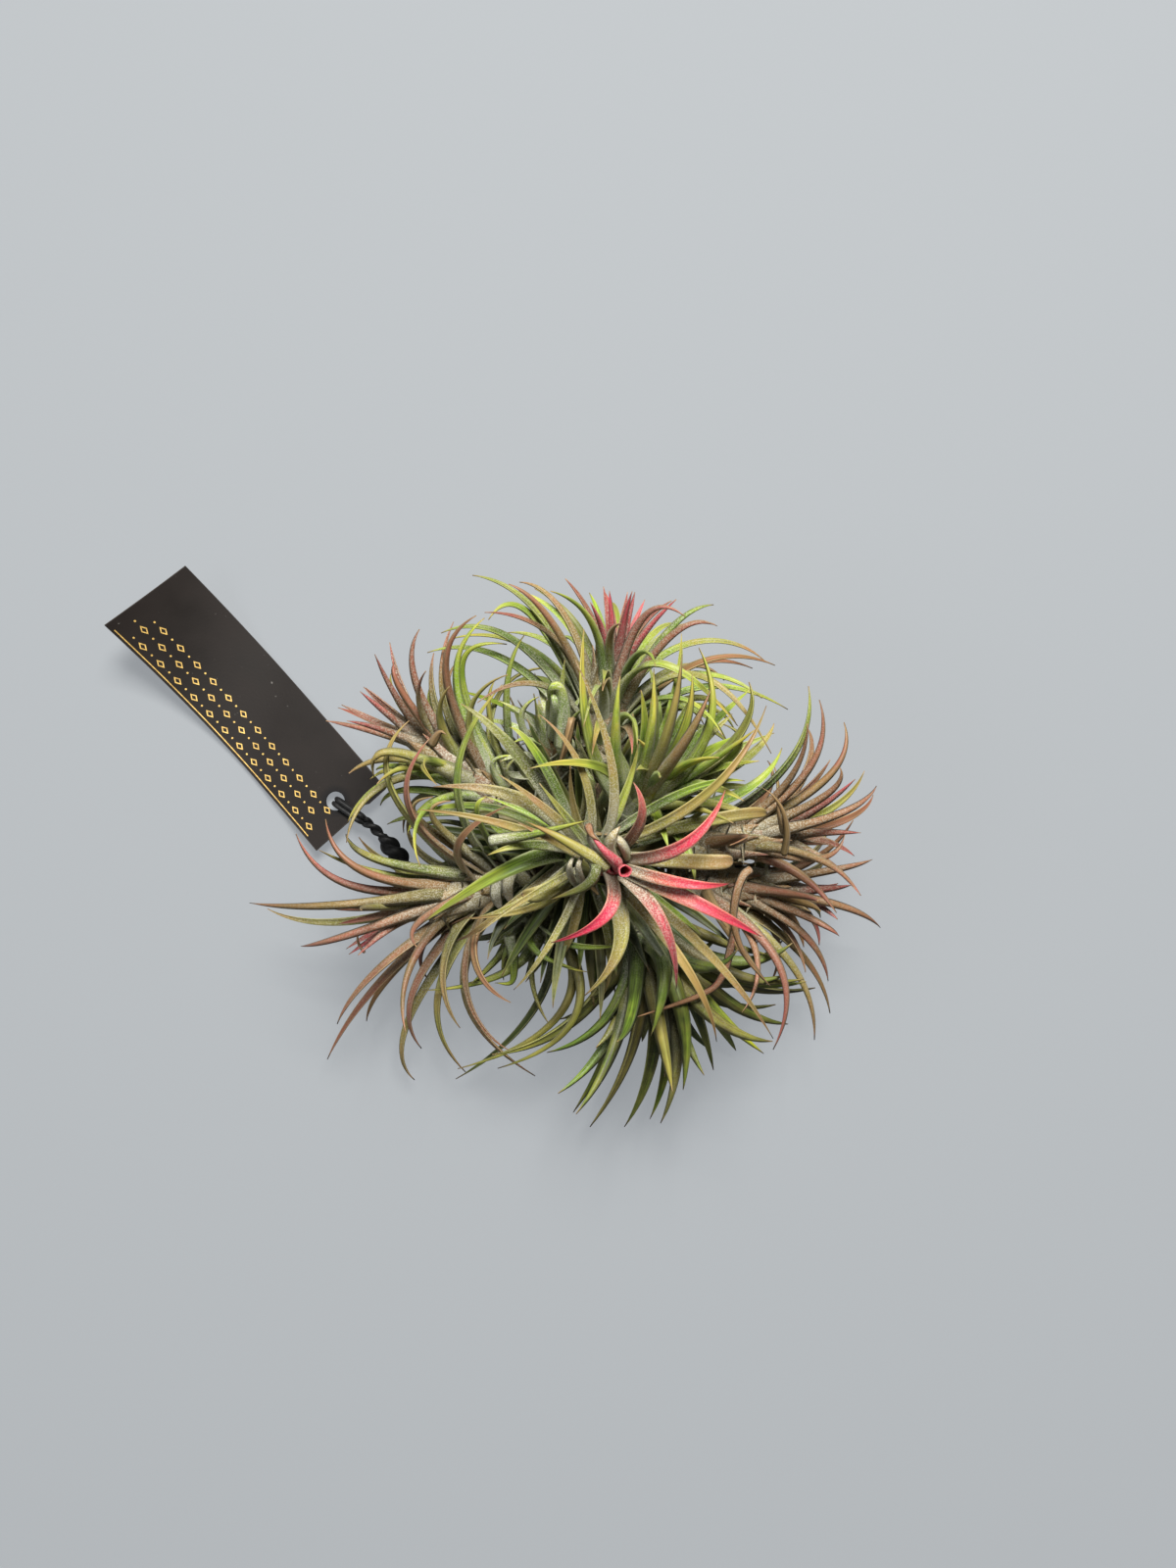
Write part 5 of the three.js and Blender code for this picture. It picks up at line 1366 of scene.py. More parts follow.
def add_leaf(shape, course, spec, tone, rng, sheath=None, hug=LEAF["hug"], dry_from=LEAF["dry_from"]):
    """Each ring's upper points are at the margin's height times x², and its lower ones are under them by
    the thickness times √(1-x²). The margin stands up by the gutter's depth, or, at the sheath, by the height
    at which it hugs a neck of the given radius. A sheath below 0 is a waist: a narrow, round foot."""
    form = spec["form"]
    taper = BLUNT.get(tone, form["taper"])
    sheath = form["sheath"] if sheath is None else sheath
    u = np.linspace(0, 1, len(course.at))[:, None]
    full = spec["width"] * form["share"]
    half = np.maximum(LEAF["tip_width"], full * (1 - u**taper) ** BLADE["taper_power"]) / 2
    near = sheath * np.clip(1 - u / LEAF["sheath_share"], 0, 1) ** 2
    half = half * (1 + LEAF["sheath_wider"] * near)
    deep = np.minimum(course.deep, LEAF["deep_share"] * half + LEAF["deep_least"])
    margin = LEAF["groove"] * deep + np.maximum(near, 0) * half**2 / (2 * hug)
    thick = LEAF["thick"] * deep * (1 - LEAF["thinner_sheath"] * near)
    x = RING_X[None]
    y = margin * x**2 - ON_BACK * thick * 2 * np.sqrt(1 - x**2) - deep * LEAF["sunk"]
    aside = (half * x)[..., None] * course.side[:, None]
    points = course.at[:, None] + aside + y[..., None] * course.face[:, None]
    along = gone_along(course.at)[:, None]
    grain = grain_grid(half * x + BACK["grain"] * ON_BACK, along, GRAIN_STEP * rng.integers(1, 999))
    values = {"grain": grain, "edge": np.broadcast_to(x**2 * (1 - BACK["edge"] * ON_BACK), y.shape)}
    for name, size in JITTER.items():
        along_leaf = np.interp(u, TONE_AT, TONES[tone][name])
        values[name] = np.broadcast_to(along_leaf + size * rng.normal(), y.shape)
    tip = np.clip((u - dry_from) / (1 - dry_from + 1e-6), 0, 1)
    values["dry"] = np.maximum(values["dry"], np.broadcast_to(tip, y.shape))
    shape.add(points, loft_faces(len(points), len(RING_X)), **values)


print("A leaf's ring has", len(RING_X), "points, and a leaf has one of", len(TONES), "tones")

# %% [markdown]
# ## The leaf's finish
#
# Under its coat of scales a leaf is green, and where the sun reaches it the green gives way to tan, bronze,
# pink or crimson. The scales are tiny silver discs, dense at the base and sparse at the tip. So the finish
# mixes a green and a warm colour ramp by the values that each leaf carries, and then lays speckles of silver
# over both. The margins are paler, lines run lengthwise, and the last few millimetres are dry and brown.

# %% The leaf's finish
GREENS = [(0.0, linear(42, 50, 20)), (0.38, linear(82, 104, 30)), (0.7, linear(120, 144, 34)),
          (1.0, linear(176, 172, 42))]
WARMS = [(0.0, linear(142, 122, 64)), (0.25, linear(122, 90, 58)), (0.5, linear(118, 66, 58)),
         (0.75, linear(158, 56, 68)), (1.0, linear(184, 26, 66))]
BROWNS = [(0.25, linear(74, 52, 36)), (0.75, linear(152, 124, 88))]
MARGIN = linear(196, 192, 138)
SILVER = linear(176, 174, 160)
STREAKS = (2.6, 0.07, 1.0)  # the grain is read finely across a leaf, and slowly along it
SWAY = {"bright_streaks": 0.16, "bright_patches": 0.12, "warm": 0.2, "rosy": 0.08}


def leaf_colour(tree, streaks, patches):
    """Green ramps from dull to bright, warm from tan to crimson, and both darken and lighten in streaks. The
    margins go pale with the cube of the edge value."""
    bright = swayed(tree, carried(tree, "bright"), streaks, SWAY["bright_streaks"])
    bright = swayed(tree, bright, patches, SWAY["bright_patches"])
    warm = swayed(tree, carried(tree, "warm"), patches, SWAY["warm"], clamp=True)
    rosy = swayed(tree, carried(tree, "rosy"), streaks, SWAY["rosy"])
    colour = blended(tree, warm, ramp(tree, bright, GREENS), ramp(tree, rosy, WARMS))
    shade = spread(tree, streaks, *MOST_NOISE, 0.72, 1.24)
    grey = add_node(tree, "CombineColor", {0: shade, 1: shade, 2: shade}).outputs[0]
    colour = blended(tree, 1.0, colour, grey, "MULTIPLY")
    edge = calc(tree, "MULTIPLY", calc(tree, "POWER", carried(tree, "edge"), 3.0), 0.26)
    return blended(tree, edge, colour, MARGIN)


def scale_coat(tree, scurf, speckle):
    """How much of the surface its scales hide: single flecks, and where they are dense a closed coat."""
    flecks = spread(tree, speckle, 0.48, 0.58)
    coat = spread(tree, scurf, 0.55, 1.3, 0.0, 0.75)
    silver = calc(tree, "ADD", calc(tree, "MULTIPLY", scurf, flecks), coat, clamp=True)
    return calc(tree, "MULTIPLY", silver, 0.8)


def leaf_finish(name):
    """The leaf's colour, its coat of scales over that, and its dry parts over both."""
    finish, tree, shader = new_finish(name)
    place = here_on(tree)
    streaks = noise(tree, stretched(tree, carried(tree, "grain", "Vector"), STREAKS), 1.0, 3.0, 0.6)
    colour = leaf_colour(tree, streaks, noise(tree, place, 110.0, 3.0))
    scurf = carried(tree, "scurf")
    silver = scale_coat(tree, scurf, noise(tree, place, 2600.0, 2.0, 0.6))
    colour = blended(tree, silver, colour, SILVER)
    dry = spread(tree, carried(tree, "dry"), 0.1, 1.0, 0.0, 0.9)
    colour = blended(tree, dry, colour, ramp(tree, streaks, BROWNS))
    fill_in(tree, shader, {"Base Color": colour, "Roughness": spread(tree, scurf, 0.1, 0.9, 0.46, 0.78),
                           "Specular IOR Level": 0.28, "Sheen Weight": 0.03})
    relief = calc(tree, "ADD", calc(tree, "MULTIPLY", silver, 0.5), streaks)
    bumped(tree, shader, relief, 0.16, 0.6)
    return finish


FINISHES = {slot: leaf_finish(slot) for slot in ("green_leaf", "olive_leaf", "bronze_leaf", "crimson_leaf")}
SLOTS = {"front_head": "olive_leaf", "front_heart": "crimson_leaf"}
print(len(FINISHES), "leaf finishes:", ", ".join(FINISHES))

# %% [markdown]
# ## Necks and hearts
#
# A head's neck is a short stem that disappears under old sheaths. It is turned like wood on a lathe, a
# little lumpy, and then clad in bracts: the dry feet of leaves that are long gone, which hug the stem and
# overlap like roof tiles. They follow the same golden angle as the leaves. A heart is a plain cone under its
# young leaves. The front head's heart also holds a spent flower's short tube.

# %% Dressing the heads
NEAR_AXIS = 0.05  # a turned profile starts and ends this far from its axis
# A turned surface's lumps: waves round it, how fast they drift along it, and their least share of the depth.
NECK_LUMPS = {"waves": (2, 3, 5), "drift": (0.05, 0.25), "least": 0.5, "grain": 7.7}
BARK_LUMPS = {"waves": (3, 5, 8, 13), "drift": (0.1, 0.5), "least": 0.3, "grain": 3.3}
# The bottom head's own green is the dark tone, partly painted shade.
OWN_GREEN = {"bottom": "dark", "pup": "silver", "inner": "lime"}
NECK_SHAPE = {"around": 28, "rings": 14, "lumps": 0.03}
HEART_SHAPE = {"around": 20, "lumps": 0.02, "hug": 3.5}
BRACT = {"count": 24, "from": 0.02, "to": 0.88, "length": 15, "width": 7.5, "lean": 2.5, "curl": 10,
         "curl_chance": 5, "sway": 8, "above": 0.2, "deep": 0.4, "sheath": 1.3, "dry_from": 0.97, "dry": 0.08,
         "form": {"share": 1.0, "taper": 1.15}}


def add_turned(shape, base, profile, around, rng, depth, lumps=NECK_LUMPS, **values):
    """A profile of (radius, height) pairs turned round the base's axis. Each of the lumps' waves scales the
    radius by 1 + depth times the sine of so many times the angle, and its phase drifts with the height."""
    profile = np.array(profile, float)
    angle = TURN * np.arange(around) / around
    radius = np.repeat(profile[:, :1], around, axis=1)
    for waves in lumps["waves"]:
        drift = profile[:, 1:] * rng.uniform(*lumps["drift"]) + rng.uniform(0, TURN)
        radius = radius * (1 + depth * rng.uniform(lumps["least"], 1) * np.sin(waves * angle + drift))
    spokes = np.cos(angle)[None, :, None] * base.up + np.sin(angle)[None, :, None] * base.across
    points = base.origin + profile[:, None, 1:] * base.axis + radius[..., None] * spokes
    grain = grain_grid(radius * angle, profile[:, 1:], lumps["grain"])
    shape.add(points, loft_faces(len(profile), around), grain=grain, **values)


def tone_values(tone, place=1):
    """A tone's values at one of its three places, for a surface that isn't a leaf and has no margin."""
    return {"edge": 0.0, **{name: values[place] for name, values in TONES[tone].items()}}


def add_bracts(shape, head, rng):
    """Bracts from the neck's foot to near its top, each lying along the neck."""
    for k in range(BRACT["count"]):
        share = BRACT["from"] + (BRACT["to"] - BRACT["from"]) * k / BRACT["count"]
        radius = float(neck_radius(head, share))
        spec = dict(
            height=head["neck"] * share, root_radius=radius - BRACT["above"], twist=0, form=BRACT["form"],
            turn=head["start"] + k * GOLDEN_TURN, lean=BRACT["lean"] * (1.5 - share) + rng.normal(),
            curl=BRACT["curl"] + BRACT["curl_chance"] * rng.normal(), sway=BRACT["sway"] * rng.normal(),
            width=BRACT["width"] * rng.uniform(0.8, 1.1), length=BRACT["length"] * rng.uniform(0.75, 1.15),
        )
        course = Course(*(part[::2] for part in spiral_course(foot_of(head), spec)))
        tone = "bract" if rng.random() < BRACT["dry"] else head.get("neck_tone", "silver")
        add_leaf(shape, course._replace(deep=course.deep * BRACT["deep"]), spec, tone, rng,
                 sheath=BRACT["sheath"], hug=radius, dry_from=BRACT["dry_from"])


def dress_head(head, rng):
    """The neck, its bracts, and every leaf that grew from it."""
    shape, name = Shape(), f"{head['name']}_head"
    shares = np.linspace(0, 1, NECK_SHAPE["rings"])
    rings = zip(neck_radius(head, shares), shares * head["neck"])
    profile = [(NEAR_AXIS, 0), *rings, (NEAR_AXIS, head["neck"])]
    values = tone_values(head.get("neck_tone", "silver"), 0)
    add_turned(shape, foot_of(head), profile, NECK_SHAPE["around"], rng, NECK_SHAPE["lumps"], **values)
    add_bracts(shape, head, rng)
    for course, spec in grown[name] + filling.get(name, []):
        hug = float(neck_radius(head, spec["height"] / head["neck"]))
        add_leaf(shape, course, spec, leaf_tone(head["name"], spec), rng, hug=hug)
    slot = SLOTS.get(name, "green_leaf")
    shape.made(f"{head['name']}_leaves", FINISHES[slot], slot, [name])


def leaf_tone(name, spec):
    """A set leaf that is simply green takes its own head's green."""
    return OWN_GREEN.get(name, "green") if spec["tone"] == "green" and "tip" in spec else spec["tone"]


def dress_heart(head, rng):
    """The cone, which the front head bores for its spent flower, and the young leaves."""
    shape, name = Shape(), f"{head['name']}_heart"
    top, tip, bore = HEART["height"], HEART["tip_radius"], HEART["tube_bore"]
    outer = [(NEAR_AXIS, 0), (HEART["radius"], 0), (3.4, 2.6), (tip + 0.15, top - 0.8), (tip, top - 0.2)]
    floor = top - HEART["tube_depth"]
    tube = [(tip - 0.3, top), (bore + 0.25, top - 0.1), (bore, top - 0.5), (bore * 0.9, floor),
            (NEAR_AXIS, floor)]
    closed = [(tip - 0.6, top + 0.3), (NEAR_AXIS, top + 0.5)]
    profile = outer + (tube if head["name"] == "front" else closed)
    values = tone_values(head.get("young_tone", "tube"), 0)
    add_turned(shape, heart_of(head), profile, HEART_SHAPE["around"], rng, HEART_SHAPE["lumps"], **values)
    for course, spec in grown[name]:
        add_leaf(shape, course, spec, spec["tone"], rng, hug=HEART_SHAPE["hug"])
    slot = SLOTS.get(name, "bronze_leaf")
    shape.made(f"{head['name']}_young_leaves", FINISHES[slot], slot, [name])


for head in HEADS:
    rng = np.random.default_rng(head["seed"])
    dress_head(head, rng)
    if f"{head['name']}_heart" in grown:
        dress_heart(head, rng)

# %% [markdown]
# ## The crown and its roots
#
# Under the heads lies the old wood: a short stump, a knot of fused stems, and a stolon to each head. An air
# plant's roots are only anchors, dark and wiry, and branch into finer ones. The stump is turned with many
# lumps and its foot is kept flat, and the roots follow the same wandering walk as in the frame, so they come
# out where the leaves left them room.

# %% Wood and roots
BARKS = [(0.3, linear(34, 25, 19)), (0.52, linear(78, 60, 44)), (0.75, linear(140, 118, 92))]
BARK = {"around": 40, "stump_lumps": 0.035, "knot_lumps": 0.06, "knot_radius": 8, "knot_rings": 16}
STOLON = {"step": 1.2, "around": 14, "wobble": 0.07, "waves": 0.9}
ROOT_SHAPE = {"step": 0.8, "around": 7, "end_radius": 0.3}
ROOTLET = {"count": 5, "heading": 0.6, "wander": 0.28, "steps": 7, "step": (0.7, 1.5), "lowest": 0.4,
           "radius": (0.24, 0.1), "around": 5}


def wood_finish():
    """Fibrous bark: dark brown with paler ridges that run along the stem."""
    finish, tree, shader = new_finish("crown_wood")
    grain = carried(tree, "grain", "Vector")
    fibres = noise(tree, stretched(tree, grain, (1.9, 0.16, 1.0)), 1.0, 4.0, 0.65)
    crumbs = noise(tree, here_on(tree), 700.0, 3.0)
    colour = blended(tree, spread(tree, crumbs, 0.5, 0.75, 0.0, 0.5), ramp(tree, fibres, BARKS),
                     linear(60, 48, 38))
    fill_in(tree, shader, {"Base Color": colour, "Roughness": 0.86})
    bumped(tree, shader, calc(tree, "ADD", fibres, calc(tree, "MULTIPLY", crumbs, 0.4)), 0.6, 0.8)
    return finish


def add_tube(shape, path, radius, around, number):
    """A round stem along a path, closed at both ends, with the grain along it."""
    radius = np.broadcast_to(np.reshape(radius, (-1, 1)), (len(path), around))
    angle = TURN * np.arange(around) / around
    grain = grain_grid(radius * angle, gone_along(path)[:, None], GRAIN_STEP * number)
    shape.add(tube_points(path, radius, around), loft_faces(len(path), around), grain=grain)


def add_bark(shape, origin, profile, rng, depth):
    """A turned piece of wood, upright, with many lumps round it."""
    add_turned(shape, UPRIGHT._replace(origin=origin), profile, BARK["around"], rng, depth, BARK_LUMPS)


def add_rootlet(shape, path, rng, number):
    """A finer root that leaves its parent somewhere along it, and wanders off a few millimetres."""
    start = rng.integers(len(path) // 4, len(path) - 2)
    heading = unit(path[start + 1] - path[start] + rng.normal(0, ROOTLET["heading"], 3))
    steps = heading + np.cumsum(rng.normal(0, ROOTLET["wander"], (ROOTLET["steps"], 3)), axis=0)
    steps = unit(steps) * rng.uniform(*ROOTLET["step"])
    way = path[start] + np.vstack([np.zeros(3), np.cumsum(steps, axis=0)])
    way[:, 2] = np.maximum(way[:, 2], ROOTLET["lowest"])
    add_tube(shape, way, np.linspace(*ROOTLET["radius"], len(way)), ROOTLET["around"], number)


def dress_crown():
    """The stump, the knot of stems above it, the stolons, and the roots with their rootlets."""
    shape, rng = Shape(), np.random.default_rng(5)
    s = STUMP
    stump = [
        (NEAR_AXIS, 0), (s["foot"] - 0.5, 0), (s["foot"], 0.5),
        (s["foot"] - s["foot_taper"], s["foot_height"]), (s["waist"] + 0.5, 6),
        (s["waist"], s["waist_height"]), (s["waist"] + 0.2, 15), (s["top"], 20),
        (s["top"] * 0.9, s["top_height"]), (NEAR_AXIS, s["top_height"] + 2),
    ]
    add_bark(shape, UPRIGHT.origin, stump, rng, BARK["stump_lumps"])
    angle = np.linspace(0.02, np.pi - 0.02, BARK["knot_rings"])
    knot = BARK["knot_radius"] * np.stack([np.sin(angle), -np.cos(angle)], axis=1) + [0.02, 0]
    add_bark(shape, CROWN_AT, knot, rng, BARK["knot_lumps"])
    for k, head in enumerate(HEADS):
        foot = foot_of(head)
        end = foot.origin - foot.axis * SEAT_GAP
        points = [CROWN_AT, (CROWN_AT + end) / 2 - foot.axis, end - 3 * foot.axis, end]
        path = smooth_path(points, STOLON["step"])
        wobble = 1 + STOLON["wobble"] * np.sin(gone_along(path) * STOLON["waves"] + k)
        add_tube(shape, path, STOLON_RADIUS * wobble, STOLON["around"], k + 2)
    for k, root in enumerate(ROOTS):
        path = smooth_path(root_path(root), ROOT_SHAPE["step"])
        radius = np.linspace(ROOT["radius"], ROOT_SHAPE["end_radius"], len(path))
        add_tube(shape, path, radius, ROOT_SHAPE["around"], k + 20)
        for j in range(ROOTLET["count"]):
            add_rootlet(shape, path, rng, k + 30 + j)
    shape.made("crown_and_roots", wood_finish(), "crown_wood", ["crown"])


dress_crown()

# %% [markdown]
# ## The card
#
# The card is stiff dark board with a punched hole. Years of string have bitten a shallow notch into its near
# end. Its grid of points spreads from the hole's edge to the outline, so one closed surface holds the hole,
# the notch and the bowed faces, and no part has to be cut away. Cutting with a boolean would leave long thin
# triangles where the bow needs even ones.

# %% The card
NOTCH = {"centre": -3.0, "half": 3.9, "depth": 1.5, "bluntness": 0.6}
RAYS = {"round": 240, "far_end": 24, "long_side": 72}
SPOKES = 44  # rings from the hole to the outline
SOFT_EDGE = 0.12
BOARD = [(0.3, linear(20, 16, 14)), (0.7, linear(27, 22, 20))]


def card_outline(angles):
    """How far from the hole's centre the outline is along each ray: the nearest of the four sides, less the
    notch, a shallow bowl in the near end."""
    inset, half = HOLE["inset"], CARD["width"] / 2
    c, s = np.cos(angles), np.sin(angles)
    with np.errstate(divide="ignore"):
        reach = np.minimum.reduce([
            np.where(c < 0, inset / -c, np.inf),
            np.where(c > 0, (CARD["length"] - inset) / c, np.inf),
            np.where(s != 0, half / np.abs(s), np.inf),
        ])
    y = reach * s
    near_end = np.isclose(reach * c, -inset)
    bowl = np.clip(1 - ((y - NOTCH["centre"]) / NOTCH["half"]) ** 2, 0, 1) ** NOTCH["bluntness"]
    return np.where(near_end, reach - bowl * NOTCH["depth"] / np.maximum(-c, 0.3), reach)


def card_rays():
    """Even angles, plus the rays that meet the corners exactly, and even steps along the three far sides,
    which a ray meets at a slant."""
    even = np.linspace(-np.pi, np.pi, RAYS["round"], endpoint=False)
    inset, half, far = HOLE["inset"], CARD["width"] / 2, CARD["length"] - HOLE["inset"]
    corners = np.arctan2([half, -half, half, -half], [-inset, -inset, far, far])
    far_end = np.arctan2(np.linspace(-half, half, RAYS["far_end"])[1:-1], far)
    long_side = np.arctan2(half, np.linspace(0, far, RAYS["long_side"])[:-1])
    return np.unique(np.round(np.concatenate([even, corners, far_end, long_side, -long_side]), 6))


def card_finish():
    """Dark brown-black board: even and slightly glossy, scuffed here and there, blacker round the hole."""
    finish, tree, shader = new_finish("tag_card")
    place = here_on(tree)
    clouds = noise(tree, place, 60.0, 3.0)
    scuffs = spread(tree, noise(tree, place, 420.0, 4.0, 0.7), 0.69, 0.75)
    halo = spread(tree, carried(tree, "from_hole"), 0.6, 2.4, 1.0, 0.0)
    colour = blended(tree, halo, ramp(tree, clouds, BOARD), linear(12, 10, 11))
    colour = blended(tree, calc(tree, "MULTIPLY", scuffs, 0.35), colour, linear(150, 146, 142))
    rim = spread(tree, carried(tree, "from_edge"), 0.0, 0.35, 0.35, 0.0)
    colour = blended(tree, rim, colour, linear(92, 84, 80))
    fill_in(tree, shader, {"Base Color": colour, "Roughness": spread(tree, clouds, *MOST_NOISE, 0.5, 0.62),
                           "Specular IOR Level": 0.15})
    bumped(tree, shader, noise(tree, place, 1500.0, 2.0), 0.03, 0.4)
    return finish


def make_card():
    """The profile goes out over the top face, down the edge, back under the bottom and up inside the hole."""
    angles = card_rays()
    outer = card_outline(angles)
    shares = np.linspace(0, 1, SPOKES)
    soft = SOFT_EDGE
    over = [(share, CARD["thick"], 0) for share in shares]
    profile = [*over, (1, CARD["thick"] - soft, soft), (1, soft, soft)]
    profile += [(share, 0, 0) for share in shares[::-1]]
    profile += [(0, soft, -soft), (0, CARD["thick"] - soft, -soft)]
    share, height, grown_by = np.array(profile).T[..., None]
    reach = HOLE["radius"] + (outer - HOLE["radius"] - 2 * soft) * share + soft + grown_by
    x = HOLE["inset"] + reach * np.cos(angles)
    y = reach * np.sin(angles)
    points = card_to_clump(np.stack([x, y, card_rise(x, y) + height], axis=-1))
    rings, around = reach.shape
    faces = loft_faces(rings + 1, around, capped=False)
    shape = Shape()
    shape.add(points, [face % (rings * around) for face in faces],
              from_hole=reach - HOLE["radius"], from_edge=outer - reach)
    shape.made("card", card_finish(), "tag_card", ["tag"], sharp_from=40)


make_card()

# %% [markdown]
# ## The card's gold print
#
# A band of gold runs along one long edge: a fine rule, and within it three rows of small lozenges and dots
# that take turns. Foil print has a tiny thickness of its own, so each mark is a thin plate that is bedded in
# the card and stands a few hundredths of a millimetre proud. That gives the foil its own shine and a crisp
# outline at any distance, which a painted texture would lose.

# %% Gold print
FOIL = {"above": 0.06, "below": 0.1}
BORDER = {"rule": 12.9, "rule_width": 0.28, "rule_steps": 60, "beyond": (2, 1), "rows": (3.6, 7.2, 10.8),
          "first": 7.0, "last": 84.0, "pitch": 6.4}
LOZENGE = {"along": 1.5, "across": 0.95, "open": 0.62}
DOT = {"radius": 0.3, "points": 8}


def on_card(x, y, above):
    """A place over the card's top face."""
    x, y = np.broadcast_arrays(x, y)
    return card_to_clump(np.stack([x, y, card_rise(x, y) + CARD["thick"] + above], axis=-1))


def add_mark(shape, x, y):
    """A small flat plate from its outline, which runs to the left round the mark."""
    points = np.stack([on_card(x, y, -FOIL["below"]), on_card(x, y, FOIL["above"])])
    shape.add(points, [face[:, ::-1] for face in loft_faces(2, len(x))])


def add_frame_mark(shape, x, y, inner):
    """The same plate with an opening of its own shape: up the outside, over the top and down the inside."""
    in_x, in_y = np.mean(x) + inner * (x - np.mean(x)), np.mean(y) + inner * (y - np.mean(y))
    low, high = -FOIL["below"], FOIL["above"]
    corners = [(x, y, low), (x, y, high), (in_x, in_y, high), (in_x, in_y, low)]
    points = np.stack([on_card(*corner) for corner in corners])
    shape.add(points, [face[:, ::-1] % (4 * len(x)) for face in loft_faces(5, len(x), capped=False)])


def add_rule(shape, x0, x1, y, width):
    """A fine line that follows the card's bow."""
    x = np.linspace(x0, x1, BORDER["rule_steps"])[:, None]
    sides = y + width / 2 * np.array([-1, 1, 1, -1])
    above = np.array([FOIL["above"], FOIL["above"], -FOIL["below"], -FOIL["below"]])
    points = on_card(x, sides, above)
    shape.add(points, loft_faces(len(points), len(sides)))


def gold_finish():
    """Pale gold foil, a little brushed by wear."""
    finish, tree, shader = new_finish("gold_foil")
    wear = noise(tree, here_on(tree), 900.0, 3.0)
    foil = ramp(tree, wear, [(0.3, linear(168, 134, 72)), (0.6, linear(208, 174, 98))])
    fill_in(tree, shader, {"Base Color": foil, "Metallic": 0.35, "Roughness": 0.4})
    return finish


def make_print():
    """Lozenges and dots take turns along each row, and each row is half a step on from the last."""
    shape = Shape()
    turn = TURN * np.arange(DOT["points"]) / DOT["points"]
    dot_x, dot_y = DOT["radius"] * np.cos(turn), DOT["radius"] * np.sin(turn)
    lozenge_x = LOZENGE["along"] * np.array([1, 0, -1, 0])
    lozenge_y = LOZENGE["across"] * np.array([0, 1, 0, -1])
    half_step = BORDER["pitch"] / 2
    for k, y in enumerate(BORDER["rows"]):
        first = BORDER["first"] + half_step * (k % 2)
        for x in np.arange(first, BORDER["last"] - half_step, BORDER["pitch"]):
            add_frame_mark(shape, x + lozenge_x, y + lozenge_y, LOZENGE["open"])
            add_mark(shape, x + half_step + dot_x, y + dot_y)
    before, after = BORDER["beyond"]
    add_rule(shape, BORDER["first"] - before, BORDER["last"] + after, BORDER["rule"], BORDER["rule_width"])
    shape.made("gold_border", gold_finish(), smooth=False)


make_print()

# %% [markdown]
# ## The front head's collar and its spent flower
#
# The heart of the front head is where the eye goes first. Its oldest leaves have withered to silver feet that
# curl over like fingers, with dark gaps between them, and a short tube is left of its flower. Each finger
# runs through a few points of the sheet. The tube is turned, with a deep bore, so that its mouth is dark
# because no light gets in, and not because it is painted.

# %% Collar and flower tube
STRAY_FORM = {"share": 1.0, "taper": 1.8, "sheath": 0.0}
STRAY = {"step": 0.8, "deep_share": 0.3, "deep_least": 0.2}
PLUMP = 0.6  # a withered finger's depth, as a share of half its width
# Each finger: its tone, its width in mm, and the points that it runs through on the sheet.
COLLAR = [
    ["collar", 1.9, [587, 902, 66], [582, 893, 77], [581, 884, 82], [584, 877, 82], [588, 873, 79]],
    ["collar", 2.0, [596, 904, 66], [592, 894, 78], [590, 884, 83], [593, 876, 83], [598, 872, 80]],
    ["olive", 3.4, [600, 872, 79], [606, 877, 83], [608, 887, 84], [603, 899, 83], [590, 908, 80],
     [562, 918, 74]],
    ["collar", 3.2, [616, 874, 70], [609, 864, 77], [603, 852, 81], [604, 840, 80]],
    ["collar", 3.4, [629, 878, 72], [622, 865, 79], [625, 853, 83], [633, 843, 82]],
    ["collar", 2.6, [640, 874, 72], [636, 864, 78], [630, 856, 80], [618, 852, 78]],
    ["tube", 3.0, [632, 882, 82], [625, 876, 85], [614, 865, 87], [602, 851, 86]],
    ["tan", 3.4, [620, 885, 82], [604, 874, 85], [570, 854, 86], [536, 838, 84]],
]
FLOWER = {"sheet": [638, 889, 86], "lean": [0.12, -0.02, 1.0], "mouth": 1.6, "bore": 1.15, "length": 17.0,
          "deep": 8.4, "around": 24, "lumps": 0.05}


def sheet_course(points, width):
    """A course that runs smoothly through points of the sheet, with its face turned to the eye."""
    path = smooth_path([from_sheet(*point) for point in points], STRAY["step"])
    along = unit(np.gradient(path, axis=0))
    side = unit(np.cross(along, unit(EYE - path)))
    u = np.linspace(0, 1, len(path))[:, None]
    half = np.maximum(BLADE["tip"], width * STRAY_FORM["share"] * (1 - u ** STRAY_FORM["taper"])) / 2
    deep = np.maximum(STRAY["deep_least"], STRAY["deep_share"] * half)
    return Course(path, along, side, np.cross(along, side), half, deep)


def make_strays(name, slot, rows, seed, plump=None):
    """One piece, from rows of a tone, a width and points. The plump tone's are thick for their width."""
    shape, rng = Shape(), np.random.default_rng(seed)
    for tone, width, *points in rows:
        course = sheet_course(points, width)
        if tone == plump:
            course = course._replace(deep=course.half * PLUMP)
        add_leaf(shape, course, {"width": width, "form": STRAY_FORM}, tone, rng)
    shape.made(name, FINISHES[slot], slot)


